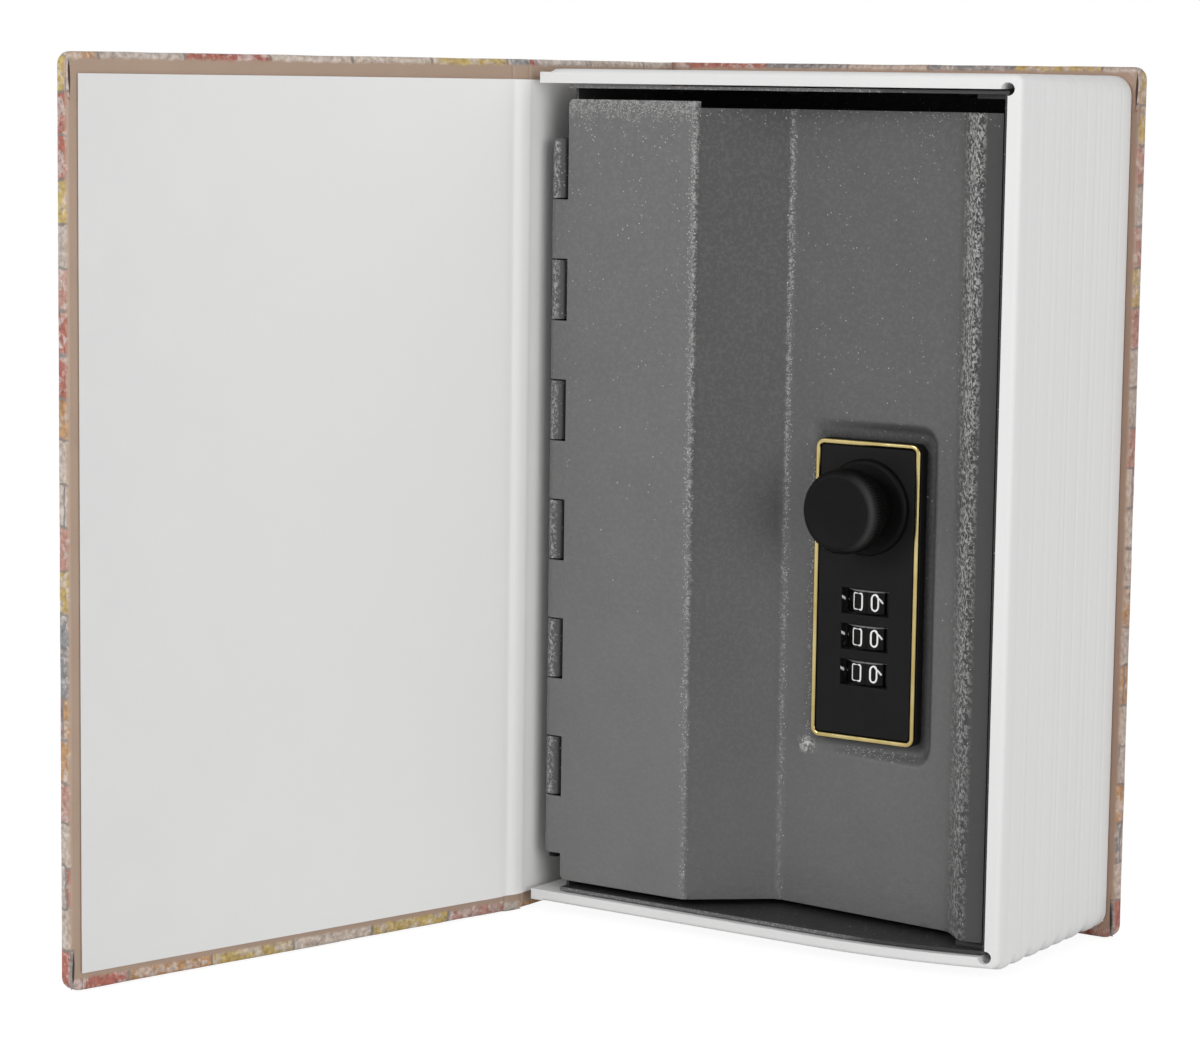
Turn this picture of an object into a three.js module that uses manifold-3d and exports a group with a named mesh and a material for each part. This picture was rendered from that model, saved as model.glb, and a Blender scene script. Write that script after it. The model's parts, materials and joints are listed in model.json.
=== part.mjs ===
// Book diversion safe: a hardcover case that holds a three-sided page frame and a steel box,
// whose folded steel door carries a combination lock with three number wheels and a turn knob.
//
// Millimetres, +Z up, +Y from the door towards the back cover, +X from the spine to the fore-edge.
// The origin is the middle of the back cover's bottom edge, on which the book stands.
// Inside the book group, x counts from the cover's hinge line, y from the page frame's front
// edge and z from the surface that the book stands on.
import * as THREE from 'three';
import { mergeVertices } from 'three/addons/utils/BufferGeometryUtils.js';
import Module from 'manifold-3d';

const wasm = await Module();
wasm.setup();

// Cover boards, cloth joints and endpapers
const coverHeight = 179.9;
const coverWidth = 113.2;
const boardThickness = 3.4;
const spineThickness = 2.55;
const boardCornerRadius = 1.6;
const jointWidth = 4;
const jointThickness = 0.5;
const endpaperThickness = 0.25;
const endpaperHeadMargin = 4.2;
const endpaperFootMargin = 3.6;
const endpaperForeMargin = 2.6;
const coverOpenAngle = THREE.MathUtils.degToRad(103.8);
const hingeStandOff = 0.5;
const paperGap = 0.3;
const spineGap = 0.3;

// Page frame: three moulded walls that look like the edges of the pages
const blockDepth = 53;
const footSquare = 1.95;
const headSquare = 1.9;
const frameRight = 111.3;
const frameWall = 2.95;
const foreWall = 2.75;
const frontCornerRadius = 1.6;
const backCornerRadius = 4;
const tongueStart = 2.35;
const tongueLength = 2.4;
const tongueStep = 0.7;
const tongueRamp = 1;
const curveStart = 72;
const curveRadius = 120;
const reliefRadius = 1.3;
const grooveDepth = 0.4;
const grooveCount = 16;
const grooveRhythm = 2.3;

// Steel box
const sheet = 0.7;
const boxLeft = 8.9;
const boxFit = 0.3;
const boxSetback = 1.3;
const leftEdgeGap = 0.5;
const stopReach = 3.4;
const stopMargin = 10.7;
const stopTabReach = 7;
const stopTabHeight = 0.9;
const doorStopGap = 0.4;
const rivetHeadRadius = 2.2;
const rivetHeadHeight = 0.8;
const rivetShankRadius = 1.2;
const rivetFit = 0.2;
const rivetCover = 0.9;
const frameRivetDepth = 22;
const frameRivetShares = [0.148, 0.426, 0.83];
const sideRivetShares = [0.2, 0.8];
const boxRivetXShares = [0.2, 0.8];
const boxRivetZShares = [0.14, 0.86];

// Hinge between box and door: rolled knuckles on a steel pin, the lowest one on the door
const pinRadius = 1.2;
const pinFit = 0.1;
const pinX = 5.2;
const knuckleHeight = 12.6;
const knuckleGap = 0.3;
const hingeBottom = 12.6;
const pinOverhang = 1;

// Door, folded from one sheet
const doorFront = 2.5;
const doorLeft = 8;
const doorFootGap = 1.3;
const doorHeadGap = 2.25;
const doorHeadStep = 1.35;
const doorSideGap = 0.5;
const creaseX = 39.2;
const valleyX = 54.4;
const valleyDepth = 15.4;
const stepFootX = 96.8;
const stepFootDepth = 12;
const stepTopX = 102.2;
const stepTopDepth = 6.6;
const lipDepth = 7.3;
const foldReach = 1.8;
const doorCornerRadius = 1.2;

// Pressed seat for the lock in the door
const seatDepth = 15.2;
const seatMargin = 3.2;
const seatCornerRadius = 3.5;

// Lock face
const lockX = 75.6;
const plateBottom = 43.3;
const plateHeight = 61.3;
const plateWidth = 24.3;
const plateThickness = 3;
const plateCornerRadius = 2;
const plateSkin = 1;
const rimWidth = 1.2;
const rimHeight = 0.9;
const rimProud = 0.2;
const rimFit = 0.1;

// Number wheels
const wheelCount = 3;
const wheelPitch = 7.3;
const wheelRadius = 7.3;
const wheelThickness = 4.8;
const wheelRecess = 0.4;
const wheelLobes = 10;
const wheelNotch = 0.35;
const wheelNotchShare = 0.12;
const middleWheelRise = 21.3;
const windowWidth = 11;
const windowHeight = 5.2;
const hubRadius = 3.2;
const hubFlangeRadius = 4.1;
const hubFlange = 0.6;
const hubFit = 0.15;
const shaftRadius = 1.5;
const shaftFit = 0.15;
const shaftSeat = 2.8;

// Knob, spindle and latch
const knobRise = 47.9;
const collarRadius = 9.8;
const collarHeight = 1.4;
const collarEdge = 0.5;
const collarBore = 5.6;
const knobTipDepth = 0.5;
const knobRadius = 8.5;
const knobRimThickness = 5.8;
const knobEdge = 0.8;
const knobDish = 0.7;
const knobDishRadius = 7;
const knobRibs = 40;
const ribDepth = 0.3;
const knobNeckRadius = 7.6;
const knobTaper = 0.9;
const knobFootRadius = 5.1;
const knobGap = 0.4;
const spindleCover = 3;
const spindleRadius = 3.2;
const spindleFit = 0.25;
const squareSide = 4.4;
const squareFit = 0.15;
const threadRadius = 2;
const threadLength = 3.6;
const camGap = 0.5;
const camThickness = 1.8;
const camLength = 29;
const camHubRadius = 5.6;
const camTipRadius = 3.6;
const washerRadius = 4.4;
const washerThickness = 0.6;
const nutAcross = 7;
const nutHeight = 2.4;
const threadFit = 0.1;
const keeperThickness = 1.5;
const keeperHeight = 22;
const keeperReach = 9.5;
const keeperFlange = 12;
const keeperGap = 0.6;

// Lock housing behind the door
const housingWidth = 19;
const housingBottomRise = 6.9;
const housingTopRise = 55.1;
const housingDepth = 16;
const housingFit = 0.3;
const earWidth = 9;
const earThickness = 1.6;
const chamberHalfWidth = 7.9;
const chamberEndGap = 1.2;
const chamberDepth = 12.8;
const screwRadius = 1.3;
const screwFit = 0.2;
const screwHeadRadius = 2.4;
const screwHeadHeight = 1.6;
const screwEdge = 2.9;
const screwBite = 1.6;
const screwSlotWidth = 0.6;
const screwSlotDepth = 0.7;

// Code-change lever and the detent spring of the wheels
const leverWidth = 2.4;
const leverLength = 4.6;
const leverTravel = 3.5;
const leverRise = 3.6;
const leverHeadWidth = 7;
const leverHeadLength = 6.4;
const leverHeadHeight = 1;
const leverGripHeight = 1;
const leverGripLength = 1.4;
const leverFit = 0.3;
const springStrip = 0.3;
const springSeatGap = 0.15;
const springHalfWidth = 5;
const springSlot = 1.6;
const springBack = 2;

// Facets and cut overrun
const arcSteps = 6;
const foldSteps = 4;
const cornerSteps = 3;
const wheelArcSteps = 3;
const roundSides = 32;
const smallSides = 16;
const hexSides = 6;
const overrun = 1;
const half = 0.5;
const quarterTurn = Math.PI / 2;
const halfTurn = Math.PI;
const fullTurn = 2 * Math.PI;

// Places that follow from the sizes above
const frameBottom = footSquare;
const frameTop = coverHeight - headSquare;
const frameInnerBottom = frameBottom + frameWall;
const frameInnerTop = frameTop - frameWall;
const frameInnerRight = frameRight - foreWall;
const boxBottom = frameInnerBottom + boxFit;
const boxTop = frameInnerTop - boxFit;
const boxRight = frameInnerRight - boxFit;
const boxInnerLeft = boxLeft + sheet;
const boxInnerRight = boxRight - sheet;
const boxInnerBottom = boxBottom + sheet;
const boxInnerTop = boxTop - sheet;
const boxInnerBack = blockDepth - sheet;
const boardInner = blockDepth + endpaperThickness;
const boardOuter = boardInner + boardThickness;
const boreRadius = pinRadius + pinFit;
const knuckleRadius = boreRadius + sheet;
const pinY = doorFront + knuckleRadius;
const doorBottom = boxInnerBottom + doorFootGap;
const doorTop = boxInnerTop - doorHeadGap;
const doorRight = boxInnerRight - doorSideGap;
const seatBack = seatDepth + sheet;
const plateFront = seatDepth - plateThickness;
const plateTop = plateBottom + plateHeight;
const plateLeft = lockX - plateWidth * half;
const plateRight = lockX + plateWidth * half;
const knobZ = plateBottom + knobRise;
const middleWheelZ = plateBottom + middleWheelRise;
const wheelAxisY = plateFront + wheelRecess + wheelRadius;
const wheelStack = (wheelCount - 1) * wheelPitch + wheelThickness;
const housingBack = seatDepth + housingDepth;
const housingBottom = plateBottom + housingBottomRise;
const housingTop = plateBottom + housingTopRise;
const chamberBottom = middleWheelZ - wheelStack * half - chamberEndGap;
const chamberTop = middleWheelZ + wheelStack * half + chamberEndGap;
const chamberBack = seatDepth + chamberDepth;
const camFront = housingBack + camGap;
const camBack = camFront + camThickness;

// Tools for the shapes

function toSolid(geometry) {
  const bare = geometry.clone();
  bare.deleteAttribute('normal');
  bare.deleteAttribute('uv');
  const merged = mergeVertices(bare);
  return new wasm.Manifold(new wasm.Mesh({
    numProp: 3,
    vertProperties: merged.attributes.position.array,
    triVerts: new Uint32Array(merged.index.array),
  }));
}

function toGeometry(solid) {
  const mesh = solid.getMesh();
  const geometry = new THREE.BufferGeometry();
  geometry.setAttribute('position', new THREE.BufferAttribute(mesh.vertProperties, 3));
  geometry.setIndex(new THREE.BufferAttribute(mesh.triVerts, 1));
  geometry.computeVertexNormals();
  return geometry;
}

function join(...geometries) {
  return toGeometry(geometries.map(toSolid).reduce((sum, solid) => sum.add(solid)));
}

function cut(geometry, ...tools) {
  return toGeometry(tools.map(toSolid).reduce((rest, tool) => rest.subtract(tool), toSolid(geometry)));
}

function common(a, b) {
  return toGeometry(toSolid(a).intersect(toSolid(b)));
}

// A box from its spans along x, y and z
function block([x0, x1], [y0, y1], [z0, z1]) {
  const geometry = new THREE.BoxGeometry(x1 - x0, y1 - y0, z1 - z0);
  return geometry.translate((x0 + x1) * half, (y0 + y1) * half, (z0 + z1) * half);
}

// A plan outline (x, y) raised between two heights
function raise(outline, [bottom, top]) {
  const options = { depth: top - bottom, bevelEnabled: false, curveSegments: arcSteps };
  return new THREE.ExtrudeGeometry(outline, options).translate(0, 0, bottom);
}

// An elevation outline (x, z) given a thickness between two depths
function plate(outline, [front, back]) {
  const options = { depth: back - front, bevelEnabled: false, curveSegments: arcSteps };
  return new THREE.ExtrudeGeometry(outline, options).rotateX(quarterTurn).translate(0, back, 0);
}

// Cylinders: one that stands, one that lies along the depth and one that lies across the book
function upright(radius, [x, y], [z0, z1], sides = smallSides) {
  const geometry = new THREE.CylinderGeometry(radius, radius, z1 - z0, sides).rotateX(quarterTurn);
  return geometry.translate(x, y, (z0 + z1) * half);
}

function level(radius, [x, z], [y0, y1], sides = smallSides) {
  return new THREE.CylinderGeometry(radius, radius, y1 - y0, sides).translate(x, (y0 + y1) * half, z);
}

function across(radius, [y, z], [x0, x1], sides = smallSides) {
  const geometry = new THREE.CylinderGeometry(radius, radius, x1 - x0, sides).rotateZ(quarterTurn);
  return geometry.translate((x0 + x1) * half, y, z);
}

// A turned shape about the knob's axis, from a profile of [radius, depth] pairs
function turned(profile, sides = roundSides) {
  const points = profile.map(([radius, depth]) => new THREE.Vector2(radius, depth));
  return new THREE.LatheGeometry(points, sides).translate(lockX, 0, knobZ);
}

function roundedRectangle([left, right], [bottom, top], radius) {
  const shape = new THREE.Shape();
  shape.moveTo(left + radius, bottom);
  shape.lineTo(right - radius, bottom);
  shape.absarc(right - radius, bottom + radius, radius, -quarterTurn, 0);
  shape.lineTo(right, top - radius);
  shape.absarc(right - radius, top - radius, radius, 0, quarterTurn);
  shape.lineTo(left + radius, top);
  shape.absarc(left + radius, top - radius, radius, quarterTurn, halfTurn);
  shape.lineTo(left, bottom + radius);
  shape.absarc(left + radius, bottom + radius, radius, halfTurn, halfTurn + quarterTurn);
  return shape;
}

// The span of a given width about a middle
const about = (middle, width) => [middle - width * half, middle + width * half];

const finish = (color, roughness, metalness = 0) =>
  new THREE.MeshStandardMaterial({ color, roughness, metalness });

function place(parent, name, geometry, material) {
  const mesh = new THREE.Mesh(geometry, material);
  mesh.name = name;
  parent.add(mesh);
}

// Cover: three boards, the cloth joints between them and the papers inside

const coverPrint = finish(0xb08a78, 0.6);
const jointCloth = finish(0xa9806c, 0.85);
const endpaperWhite = finish(0xe6e5e3, 0.85);

const book = new THREE.Group();
const coverSpan = [0, coverHeight];
const paperSpan = [endpaperFootMargin, coverHeight - endpaperHeadMargin];

// A board is square at the joint and rounded at its two outer corners
function boardOutline() {
  const far = coverWidth - boardCornerRadius;
  const high = coverHeight - boardCornerRadius;
  const shape = new THREE.Shape();
  shape.moveTo(jointWidth, 0);
  shape.lineTo(far, 0);
  shape.absarc(far, boardCornerRadius, boardCornerRadius, -quarterTurn, 0);
  shape.lineTo(coverWidth, high);
  shape.absarc(far, high, boardCornerRadius, 0, quarterTurn);
  shape.lineTo(jointWidth, coverHeight);
  return shape;
}

const paperAcross = [jointWidth, coverWidth - endpaperForeMargin];

// The front cover is drawn closed, flat on the hinge line, and turned open about it
const frontCover = new THREE.Group();
frontCover.position.set(0, -hingeStandOff, 0);
frontCover.rotation.z = -coverOpenAngle;
book.add(frontCover);

const frontBoard = plate(boardOutline(), [-boardThickness - endpaperThickness, -endpaperThickness - paperGap]);
place(frontCover, 'front_board', frontBoard, coverPrint);
const frontEndpaper = block(paperAcross, [-endpaperThickness, 0], paperSpan);
place(frontCover, 'front_endpaper', frontEndpaper, endpaperWhite);
const frontJoint = block([0, jointWidth - paperGap], [-jointThickness, 0], coverSpan);
place(frontCover, 'front_joint_cloth', frontJoint, jointCloth);

const spineFront = jointThickness - hingeStandOff + spineGap;
const spineInner = -hingeStandOff;
const spineOuter = spineInner - spineThickness;
const spineBoard = block([spineOuter, spineInner], [spineFront, boardOuter], coverSpan);
place(book, 'spine_board', spineBoard, coverPrint);
const spineLining = block([spineInner, spineInner + endpaperThickness], [spineFront, blockDepth], paperSpan);
place(book, 'spine_lining', spineLining, endpaperWhite);
const backJoint = block([spineInner, jointWidth], [boardInner, boardInner + jointThickness], coverSpan);
place(book, 'back_joint_cloth', backJoint, jointCloth);

// The back board and its endpaper are drilled for the rivets that hold the steel box
const boxRivetPlaces = boxRivetXShares.flatMap((xShare) => boxRivetZShares.map((zShare) => [
  boxLeft + (boxRight - boxLeft) * xShare,
  boxBottom + (boxTop - boxBottom) * zShare,
]));
const boxRivetEnd = boardOuter - rivetCover;

function boxRivetHoles(span) {
  return boxRivetPlaces.map((spot) => level(rivetShankRadius + rivetFit, spot, span));
}

const backBoard = cut(
  plate(boardOutline(), [boardInner, boardOuter]),
  ...boxRivetHoles([boardInner - overrun, boxRivetEnd + rivetFit]),
);
place(book, 'back_board', backBoard, coverPrint);
const backEndpaper = cut(
  block(paperAcross, [blockDepth, boardInner], paperSpan),
  ...boxRivetHoles([blockDepth - overrun, boardInner + overrun]),
);
place(book, 'back_endpaper', backEndpaper, endpaperWhite);

// Page frame: one U-shaped section, grooved like page edges along its depth

const pageWhite = finish(0xeeeeec, 0.55);

// Everything behind the front edge in plan: straight from the spine, then an arc that falls
// back towards the fore-edge
function behindFrontEdge(setback) {
  const sweep = Math.asin((frameRight + overrun - curveStart) / curveRadius);
  const shape = new THREE.Shape();
  shape.moveTo(0, setback);
  shape.lineTo(curveStart, setback);
  shape.absarc(curveStart, setback + curveRadius, curveRadius, -quarterTurn, sweep - quarterTurn);
  shape.lineTo(frameRight + overrun, blockDepth);
  shape.lineTo(0, blockDepth);
  return raise(shape, coverSpan);
}

// The points of a quarter arc from a starting angle
function quarterArc(x, z, radius, start) {
  return Array.from({ length: cornerSteps + 1 }, (_, step) => {
    const angle = start + quarterTurn * step / cornerSteps;
    return [x + radius * Math.cos(angle), z + radius * Math.sin(angle)];
  });
}

// The frame's section as a ring of points, its outer side drawn in by an inset and its two
// fore-edge corners rounded
function frameSection({ inset, radius }) {
  const right = frameRight - inset - radius;
  const low = frameBottom + inset;
  const high = frameTop - inset;
  const tongueEnd = tongueStart + tongueLength;
  return [
    [tongueStart, frameInnerBottom],
    [tongueStart, frameBottom + tongueStep],
    [tongueEnd, frameBottom + tongueStep],
    [tongueEnd + tongueRamp, low],
    ...quarterArc(right, low + radius, radius, -quarterTurn),
    ...quarterArc(right, high - radius, radius, 0),
    [tongueEnd + tongueRamp, high],
    [tongueEnd, frameTop - tongueStep],
    [tongueStart, frameTop - tongueStep],
    [tongueStart, frameInnerTop],
    [frameInnerRight, frameInnerTop],
    [frameInnerRight, frameInnerBottom],
  ];
}

// A closed body through a row of like sections at given depths
function loft(sections, depths) {
  const ring = sections[0].length;
  const positions = sections.flatMap((section, layer) => section.flatMap(([x, z]) => [x, depths[layer], z]));
  const index = [];
  for (let layer = 0; layer < sections.length - 1; layer += 1) {
    for (let i = 0; i < ring; i += 1) {
      const a = layer * ring + i;
      const b = layer * ring + (i + 1) % ring;
      index.push(a, a + ring, b, b, a + ring, b + ring);
    }
  }
  const last = ring * (sections.length - 1);
  const outline = sections[0].map((point) => new THREE.Vector2(...point));
  for (const [a, b, c] of THREE.ShapeUtils.triangulateShape(outline, [])) {
    index.push(a, b, c, last + a, last + c, last + b);
  }
  const geometry = new THREE.BufferGeometry();
  geometry.setAttribute('position', new THREE.Float32BufferAttribute(positions, 3));
  geometry.setIndex(index);
  return geometry;
}

// Layers from the front to the back: a groove of uneven depth at every other layer, while the
// corners grow rounder towards the back cover
const pageLayers = [{ depth: -overrun, inset: 0, radius: frontCornerRadius }];
for (let layer = 0; layer <= 2 * grooveCount; layer += 1) {
  const backShare = layer / (2 * grooveCount);
  const unevenShare = half + half * Math.abs(Math.sin(layer * grooveRhythm));
  pageLayers.push({
    depth: blockDepth * backShare,
    inset: (layer % 2) * grooveDepth * unevenShare,
    radius: frontCornerRadius + (backCornerRadius - frontCornerRadius) * backShare,
  });
}

const pageBody = common(
  loft(pageLayers.map(frameSection), pageLayers.map(({ depth }) => depth)),
  behindFrontEdge(0),
);

// Rivets through the box into the frame, as a place on the wall and the wall's direction
const rivetDepth = (wall) => wall + boxFit - rivetCover;

function frameRivets(headRadius, shankRadius, headHeight, extra) {
  const rivets = [];
  for (const share of frameRivetShares) {
    const x = boxLeft + (boxRight - boxLeft) * share;
    const spot = [x, frameRivetDepth];
    rivets.push(
      [upright(headRadius, spot, [boxInnerTop - headHeight, boxInnerTop]),
        upright(shankRadius, spot, [boxInnerTop, boxTop + rivetDepth(frameWall) + extra])],
      [upright(headRadius, spot, [boxInnerBottom, boxInnerBottom + headHeight]),
        upright(shankRadius, spot, [boxBottom - rivetDepth(frameWall) - extra, boxInnerBottom])],
    );
  }
  for (const share of sideRivetShares) {
    const spot = [frameRivetDepth, boxBottom + (boxTop - boxBottom) * share];
    rivets.push(
      [across(headRadius, spot, [boxInnerRight - headHeight, boxInnerRight]),
        across(shankRadius, spot, [boxInnerRight, boxRight + rivetDepth(foreWall) + extra])],
    );
  }
  return rivets;
}

const frameRivetHoles = frameRivets(rivetHeadRadius, rivetShankRadius + rivetFit, 0, rivetFit)
  .map(([, shank]) => shank);
const cornerReliefs = [frameInnerBottom, frameInnerTop].map(
  (z) => level(reliefRadius, [frameInnerRight, z], [-overrun, blockDepth + overrun]));
const pageFrame = cut(pageBody, ...cornerReliefs, ...frameRivetHoles);
place(book, 'page_frame', pageFrame, pageWhite);

// Steel box: an open tray whose left wall is rolled into the hinge knuckles

const boxPaint = finish(0x4a4a4b, 0.6, 0.3);
const doorPaint = finish(0x6c6c6c, 0.6, 0.3);
const steel = finish(0xb9bbbd, 0.35, 1);

const boxAcross = [boxLeft, boxRight];
const boxUp = [boxBottom, boxTop];
const innerAcross = [boxInnerLeft, boxInnerRight];
const innerUp = [boxInnerBottom, boxInnerTop];
const leftEdge = doorFront + sheet + leftEdgeGap;
const knuckleLeafFront = pinY + boreRadius;

// The span of one knuckle along the pin
function knuckleSpan(place, gap) {
  const low = hingeBottom + place * knuckleHeight;
  return [low + gap * half, low + knuckleHeight - gap * half];
}

const knuckleCount = Math.floor((doorTop - hingeBottom) / knuckleHeight);
const knucklePlaces = Array.from({ length: knuckleCount }, (_, i) => i);
const doorKnuckles = knucklePlaces.filter((i) => i % 2 === 0);
const boxKnuckles = knucklePlaces.filter((i) => i % 2 === 1);

// A sheet that comes along x and rolls round the pin, on the side that side names: -1 comes in
// along the front and rolls backwards, 1 comes in along the back and rolls forwards
function rolledLeaf(reach, side) {
  const start = side * quarterTurn;
  const end = start + side * (halfTurn + quarterTurn);
  const shape = new THREE.Shape();
  shape.moveTo(reach, pinY + side * knuckleRadius);
  shape.lineTo(pinX, pinY + side * knuckleRadius);
  shape.absarc(pinX, pinY, knuckleRadius, start, end, side < 0);
  shape.absarc(pinX, pinY, boreRadius, end, start, side > 0);
  shape.lineTo(reach, pinY + side * boreRadius);
  return shape;
}

const tray = cut(
  common(block(boxAcross, [0, blockDepth], boxUp), behindFrontEdge(boxSetback)),
  block(innerAcross, [-overrun, boxInnerBack], innerUp),
  block([boxLeft - overrun, boxInnerLeft + overrun], [0, leftEdge], innerUp),
  ...boxKnuckles.map((i) => block(
    [boxLeft - overrun, boxInnerLeft + overrun], [0, knuckleLeafFront], knuckleSpan(i, 0))),
  ...boxRivetHoles([boxInnerBack - overrun, blockDepth + overrun]),
  ...frameRivetHoles,
);
const stopFront = lipDepth + sheet + doorStopGap;
const stopAcross = [stopFront, stopFront + sheet];
const stopFlange = block(
  [boxInnerRight - stopReach, boxRight], stopAcross, [boxBottom + stopMargin, boxTop - stopMargin]);
const stopTabs = [
  [boxBottom, boxInnerBottom + stopTabHeight],
  [boxInnerTop - stopTabHeight, boxTop],
].map((span) => block([boxInnerRight - stopTabReach, boxRight], stopAcross, span));
const boxShell = join(
  tray,
  stopFlange,
  ...stopTabs,
  ...boxKnuckles.map((i) => raise(rolledLeaf(boxInnerLeft, 1), knuckleSpan(i, knuckleGap))),
);
place(book, 'box_shell', boxShell, boxPaint);

const hingeTop = hingeBottom + knuckleCount * knuckleHeight;
const hingePin = upright(pinRadius, [pinX, pinY], [hingeBottom - pinOverhang, hingeTop + pinOverhang]);
place(book, 'hinge_pin', hingePin, steel);

frameRivets(rivetHeadRadius, rivetShankRadius, rivetHeadHeight, 0).forEach((parts, i) => {
  place(book, `frame_rivet_${i + 1}`, join(...parts), steel);
});
boxRivetPlaces.forEach((spot, i) => {
  const head = level(rivetHeadRadius, spot, [boxInnerBack - rivetHeadHeight, boxInnerBack]);
  const shank = level(rivetShankRadius, spot, [boxInnerBack, boxRivetEnd]);
  place(book, `box_rivet_${i + 1}`, join(head, shank), steel);
});

// Keeper: an angle on the box's right wall that the latch cam turns in behind
const keeperBack = camFront - keeperGap;
const keeperUp = about(knobZ, keeperHeight);
const keeper = join(
  block([boxInnerRight - keeperReach, boxInnerRight], [keeperBack - keeperThickness, keeperBack], keeperUp),
  block(
    [boxInnerRight - keeperThickness, boxInnerRight],
    [keeperBack - keeperThickness, keeperBack + keeperFlange],
    keeperUp,
  ),
);
place(book, 'latch_keeper', keeper, steel);

// Door: one folded sheet with rolled tabs on the pin and a pressed seat for the lock

const doorLine = [
  [doorLeft, doorFront],
  [creaseX, doorFront],
  [valleyX, valleyDepth],
  [stepFootX, stepFootDepth],
  [stepTopX, stepTopDepth],
  [doorRight, lipDepth],
].map(([x, y]) => new THREE.Vector2(x, y));

// The line with each fold eased over its reach to both sides
function easedLine(line) {
  const path = new THREE.Path();
  path.moveTo(line[0].x, line[0].y);
  for (let i = 1; i < line.length - 1; i += 1) {
    const fold = line[i];
    const before = line[i - 1].clone().sub(fold).setLength(foldReach).add(fold);
    const after = line[i + 1].clone().sub(fold).setLength(foldReach).add(fold);
    path.lineTo(before.x, before.y);
    path.quadraticCurveTo(fold.x, fold.y, after.x, after.y);
  }
  const end = line[line.length - 1];
  path.lineTo(end.x, end.y);
  return path.getPoints(foldSteps);
}

// The same line moved back by a distance, square to its run
function movedBack(points, distance) {
  return points.map((point, i) => {
    const before = points[Math.max(0, i - 1)];
    const after = points[Math.min(points.length - 1, i + 1)];
    const run = after.clone().sub(before).normalize();
    return new THREE.Vector2(point.x - run.y * distance, point.y + run.x * distance);
  });
}

const doorFace = easedLine(doorLine);
const doorUp = [doorBottom, doorTop];
const doorSheet = raise(new THREE.Shape([...doorFace, ...movedBack(doorFace, sheet).reverse()]), doorUp);

// Room behind the door's face, as far back as the seat
const behindDoor = raise(new THREE.Shape([
  ...doorFace,
  new THREE.Vector2(doorRight, seatBack),
  new THREE.Vector2(doorLeft, seatBack),
]), doorUp);

// The door's elevation, with its two hinge-side corners rounded and its head stepped down from
// the crease on
function doorElevation() {
  const inset = doorLeft + doorCornerRadius;
  const stepX = creaseX + foldReach * half;
  const shape = new THREE.Shape();
  shape.moveTo(doorRight + overrun, doorBottom);
  shape.lineTo(doorRight + overrun, doorTop - doorHeadStep);
  shape.lineTo(stepX, doorTop - doorHeadStep);
  shape.lineTo(stepX, doorTop);
  shape.lineTo(inset, doorTop);
  shape.absarc(inset, doorTop - doorCornerRadius, doorCornerRadius, quarterTurn, halfTurn);
  shape.lineTo(doorLeft, doorBottom + doorCornerRadius);
  shape.absarc(inset, doorBottom + doorCornerRadius, doorCornerRadius, halfTurn, halfTurn + quarterTurn);
  return shape;
}

const seatAcross = [plateLeft - seatMargin, plateRight + seatMargin];
const seatUp = [plateBottom - seatMargin, plateTop + seatMargin];
const widened = ([low, high]) => [low - sheet, high + sheet];
const seatPan = common(
  plate(roundedRectangle(widened(seatAcross), widened(seatUp), seatCornerRadius + sheet), [0, seatBack]),
  behindDoor,
);
const seatHollow = plate(roundedRectangle(seatAcross, seatUp, seatCornerRadius), [0, seatDepth]);
const housingAcross = about(lockX, housingWidth);
const housingUp = [housingBottom, housingTop];
const housingHole = block(
  [housingAcross[0] - housingFit, housingAcross[1] + housingFit],
  [0, seatBack + overrun],
  [housingBottom - housingFit, housingTop + housingFit],
);
const screwSpots = [plateBottom + screwEdge, plateTop - screwEdge].map((z) => [lockX, z]);

function screwHoles(span) {
  return screwSpots.map((spot) => level(screwRadius + screwFit, spot, span));
}

const doorPanel = join(
  cut(
    join(common(doorSheet, plate(doorElevation(), [0, blockDepth])), seatPan),
    seatHollow,
    housingHole,
    ...screwHoles([0, seatBack + overrun]),
  ),
  ...doorKnuckles.map((i) => raise(rolledLeaf(doorLeft + sheet, -1), knuckleSpan(i, knuckleGap))),
);
place(book, 'door_panel', doorPanel, doorPaint);

// Lock face: a black plate in a brass rim

const lockBlack = finish(0x242424, 0.45);
const brass = finish(0xc8af64, 0.3, 1);
const zinc = finish(0x9a9c9e, 0.45, 1);
const knobBlack = finish(0x1c1c1c, 0.5);

const plateAcross = [plateLeft, plateRight];
const plateUp = [plateBottom, plateTop];
const drawnIn = ([low, high], inset) => [low + inset, high - inset];
const insetPlate = (inset) => roundedRectangle(
  drawnIn(plateAcross, inset), drawnIn(plateUp, inset), Math.max(plateCornerRadius - inset, rimFit));
const rimBack = plateFront + rimHeight - rimProud;
const rimRebate = cut(
  plate(insetPlate(-overrun), [plateFront - overrun, rimBack]),
  plate(insetPlate(rimWidth), [plateFront - 2 * overrun, rimBack + overrun]),
);
const wheelHeights = Array.from({ length: wheelCount }, (_, i) => (
  middleWheelZ + ((wheelCount - 1) * half - i) * wheelPitch));
const chamberAcross = about(lockX, 2 * chamberHalfWidth);
const chamberUp = [chamberBottom, chamberTop];
const lockPlate = cut(
  plate(insetPlate(0), [plateFront, seatDepth]),
  rimRebate,
  ...wheelHeights.map((z) => block(
    about(lockX, windowWidth), [plateFront - overrun, seatDepth], about(z, windowHeight))),
  block(chamberAcross, [plateFront + plateSkin, seatDepth + overrun], chamberUp),
  level(spindleRadius + spindleFit, [lockX, knobZ], [plateFront - overrun, seatDepth + overrun], roundSides),
  ...screwHoles([seatDepth - screwBite - screwFit, seatDepth + overrun]),
);
place(book, 'lock_plate', lockPlate, lockBlack);
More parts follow.
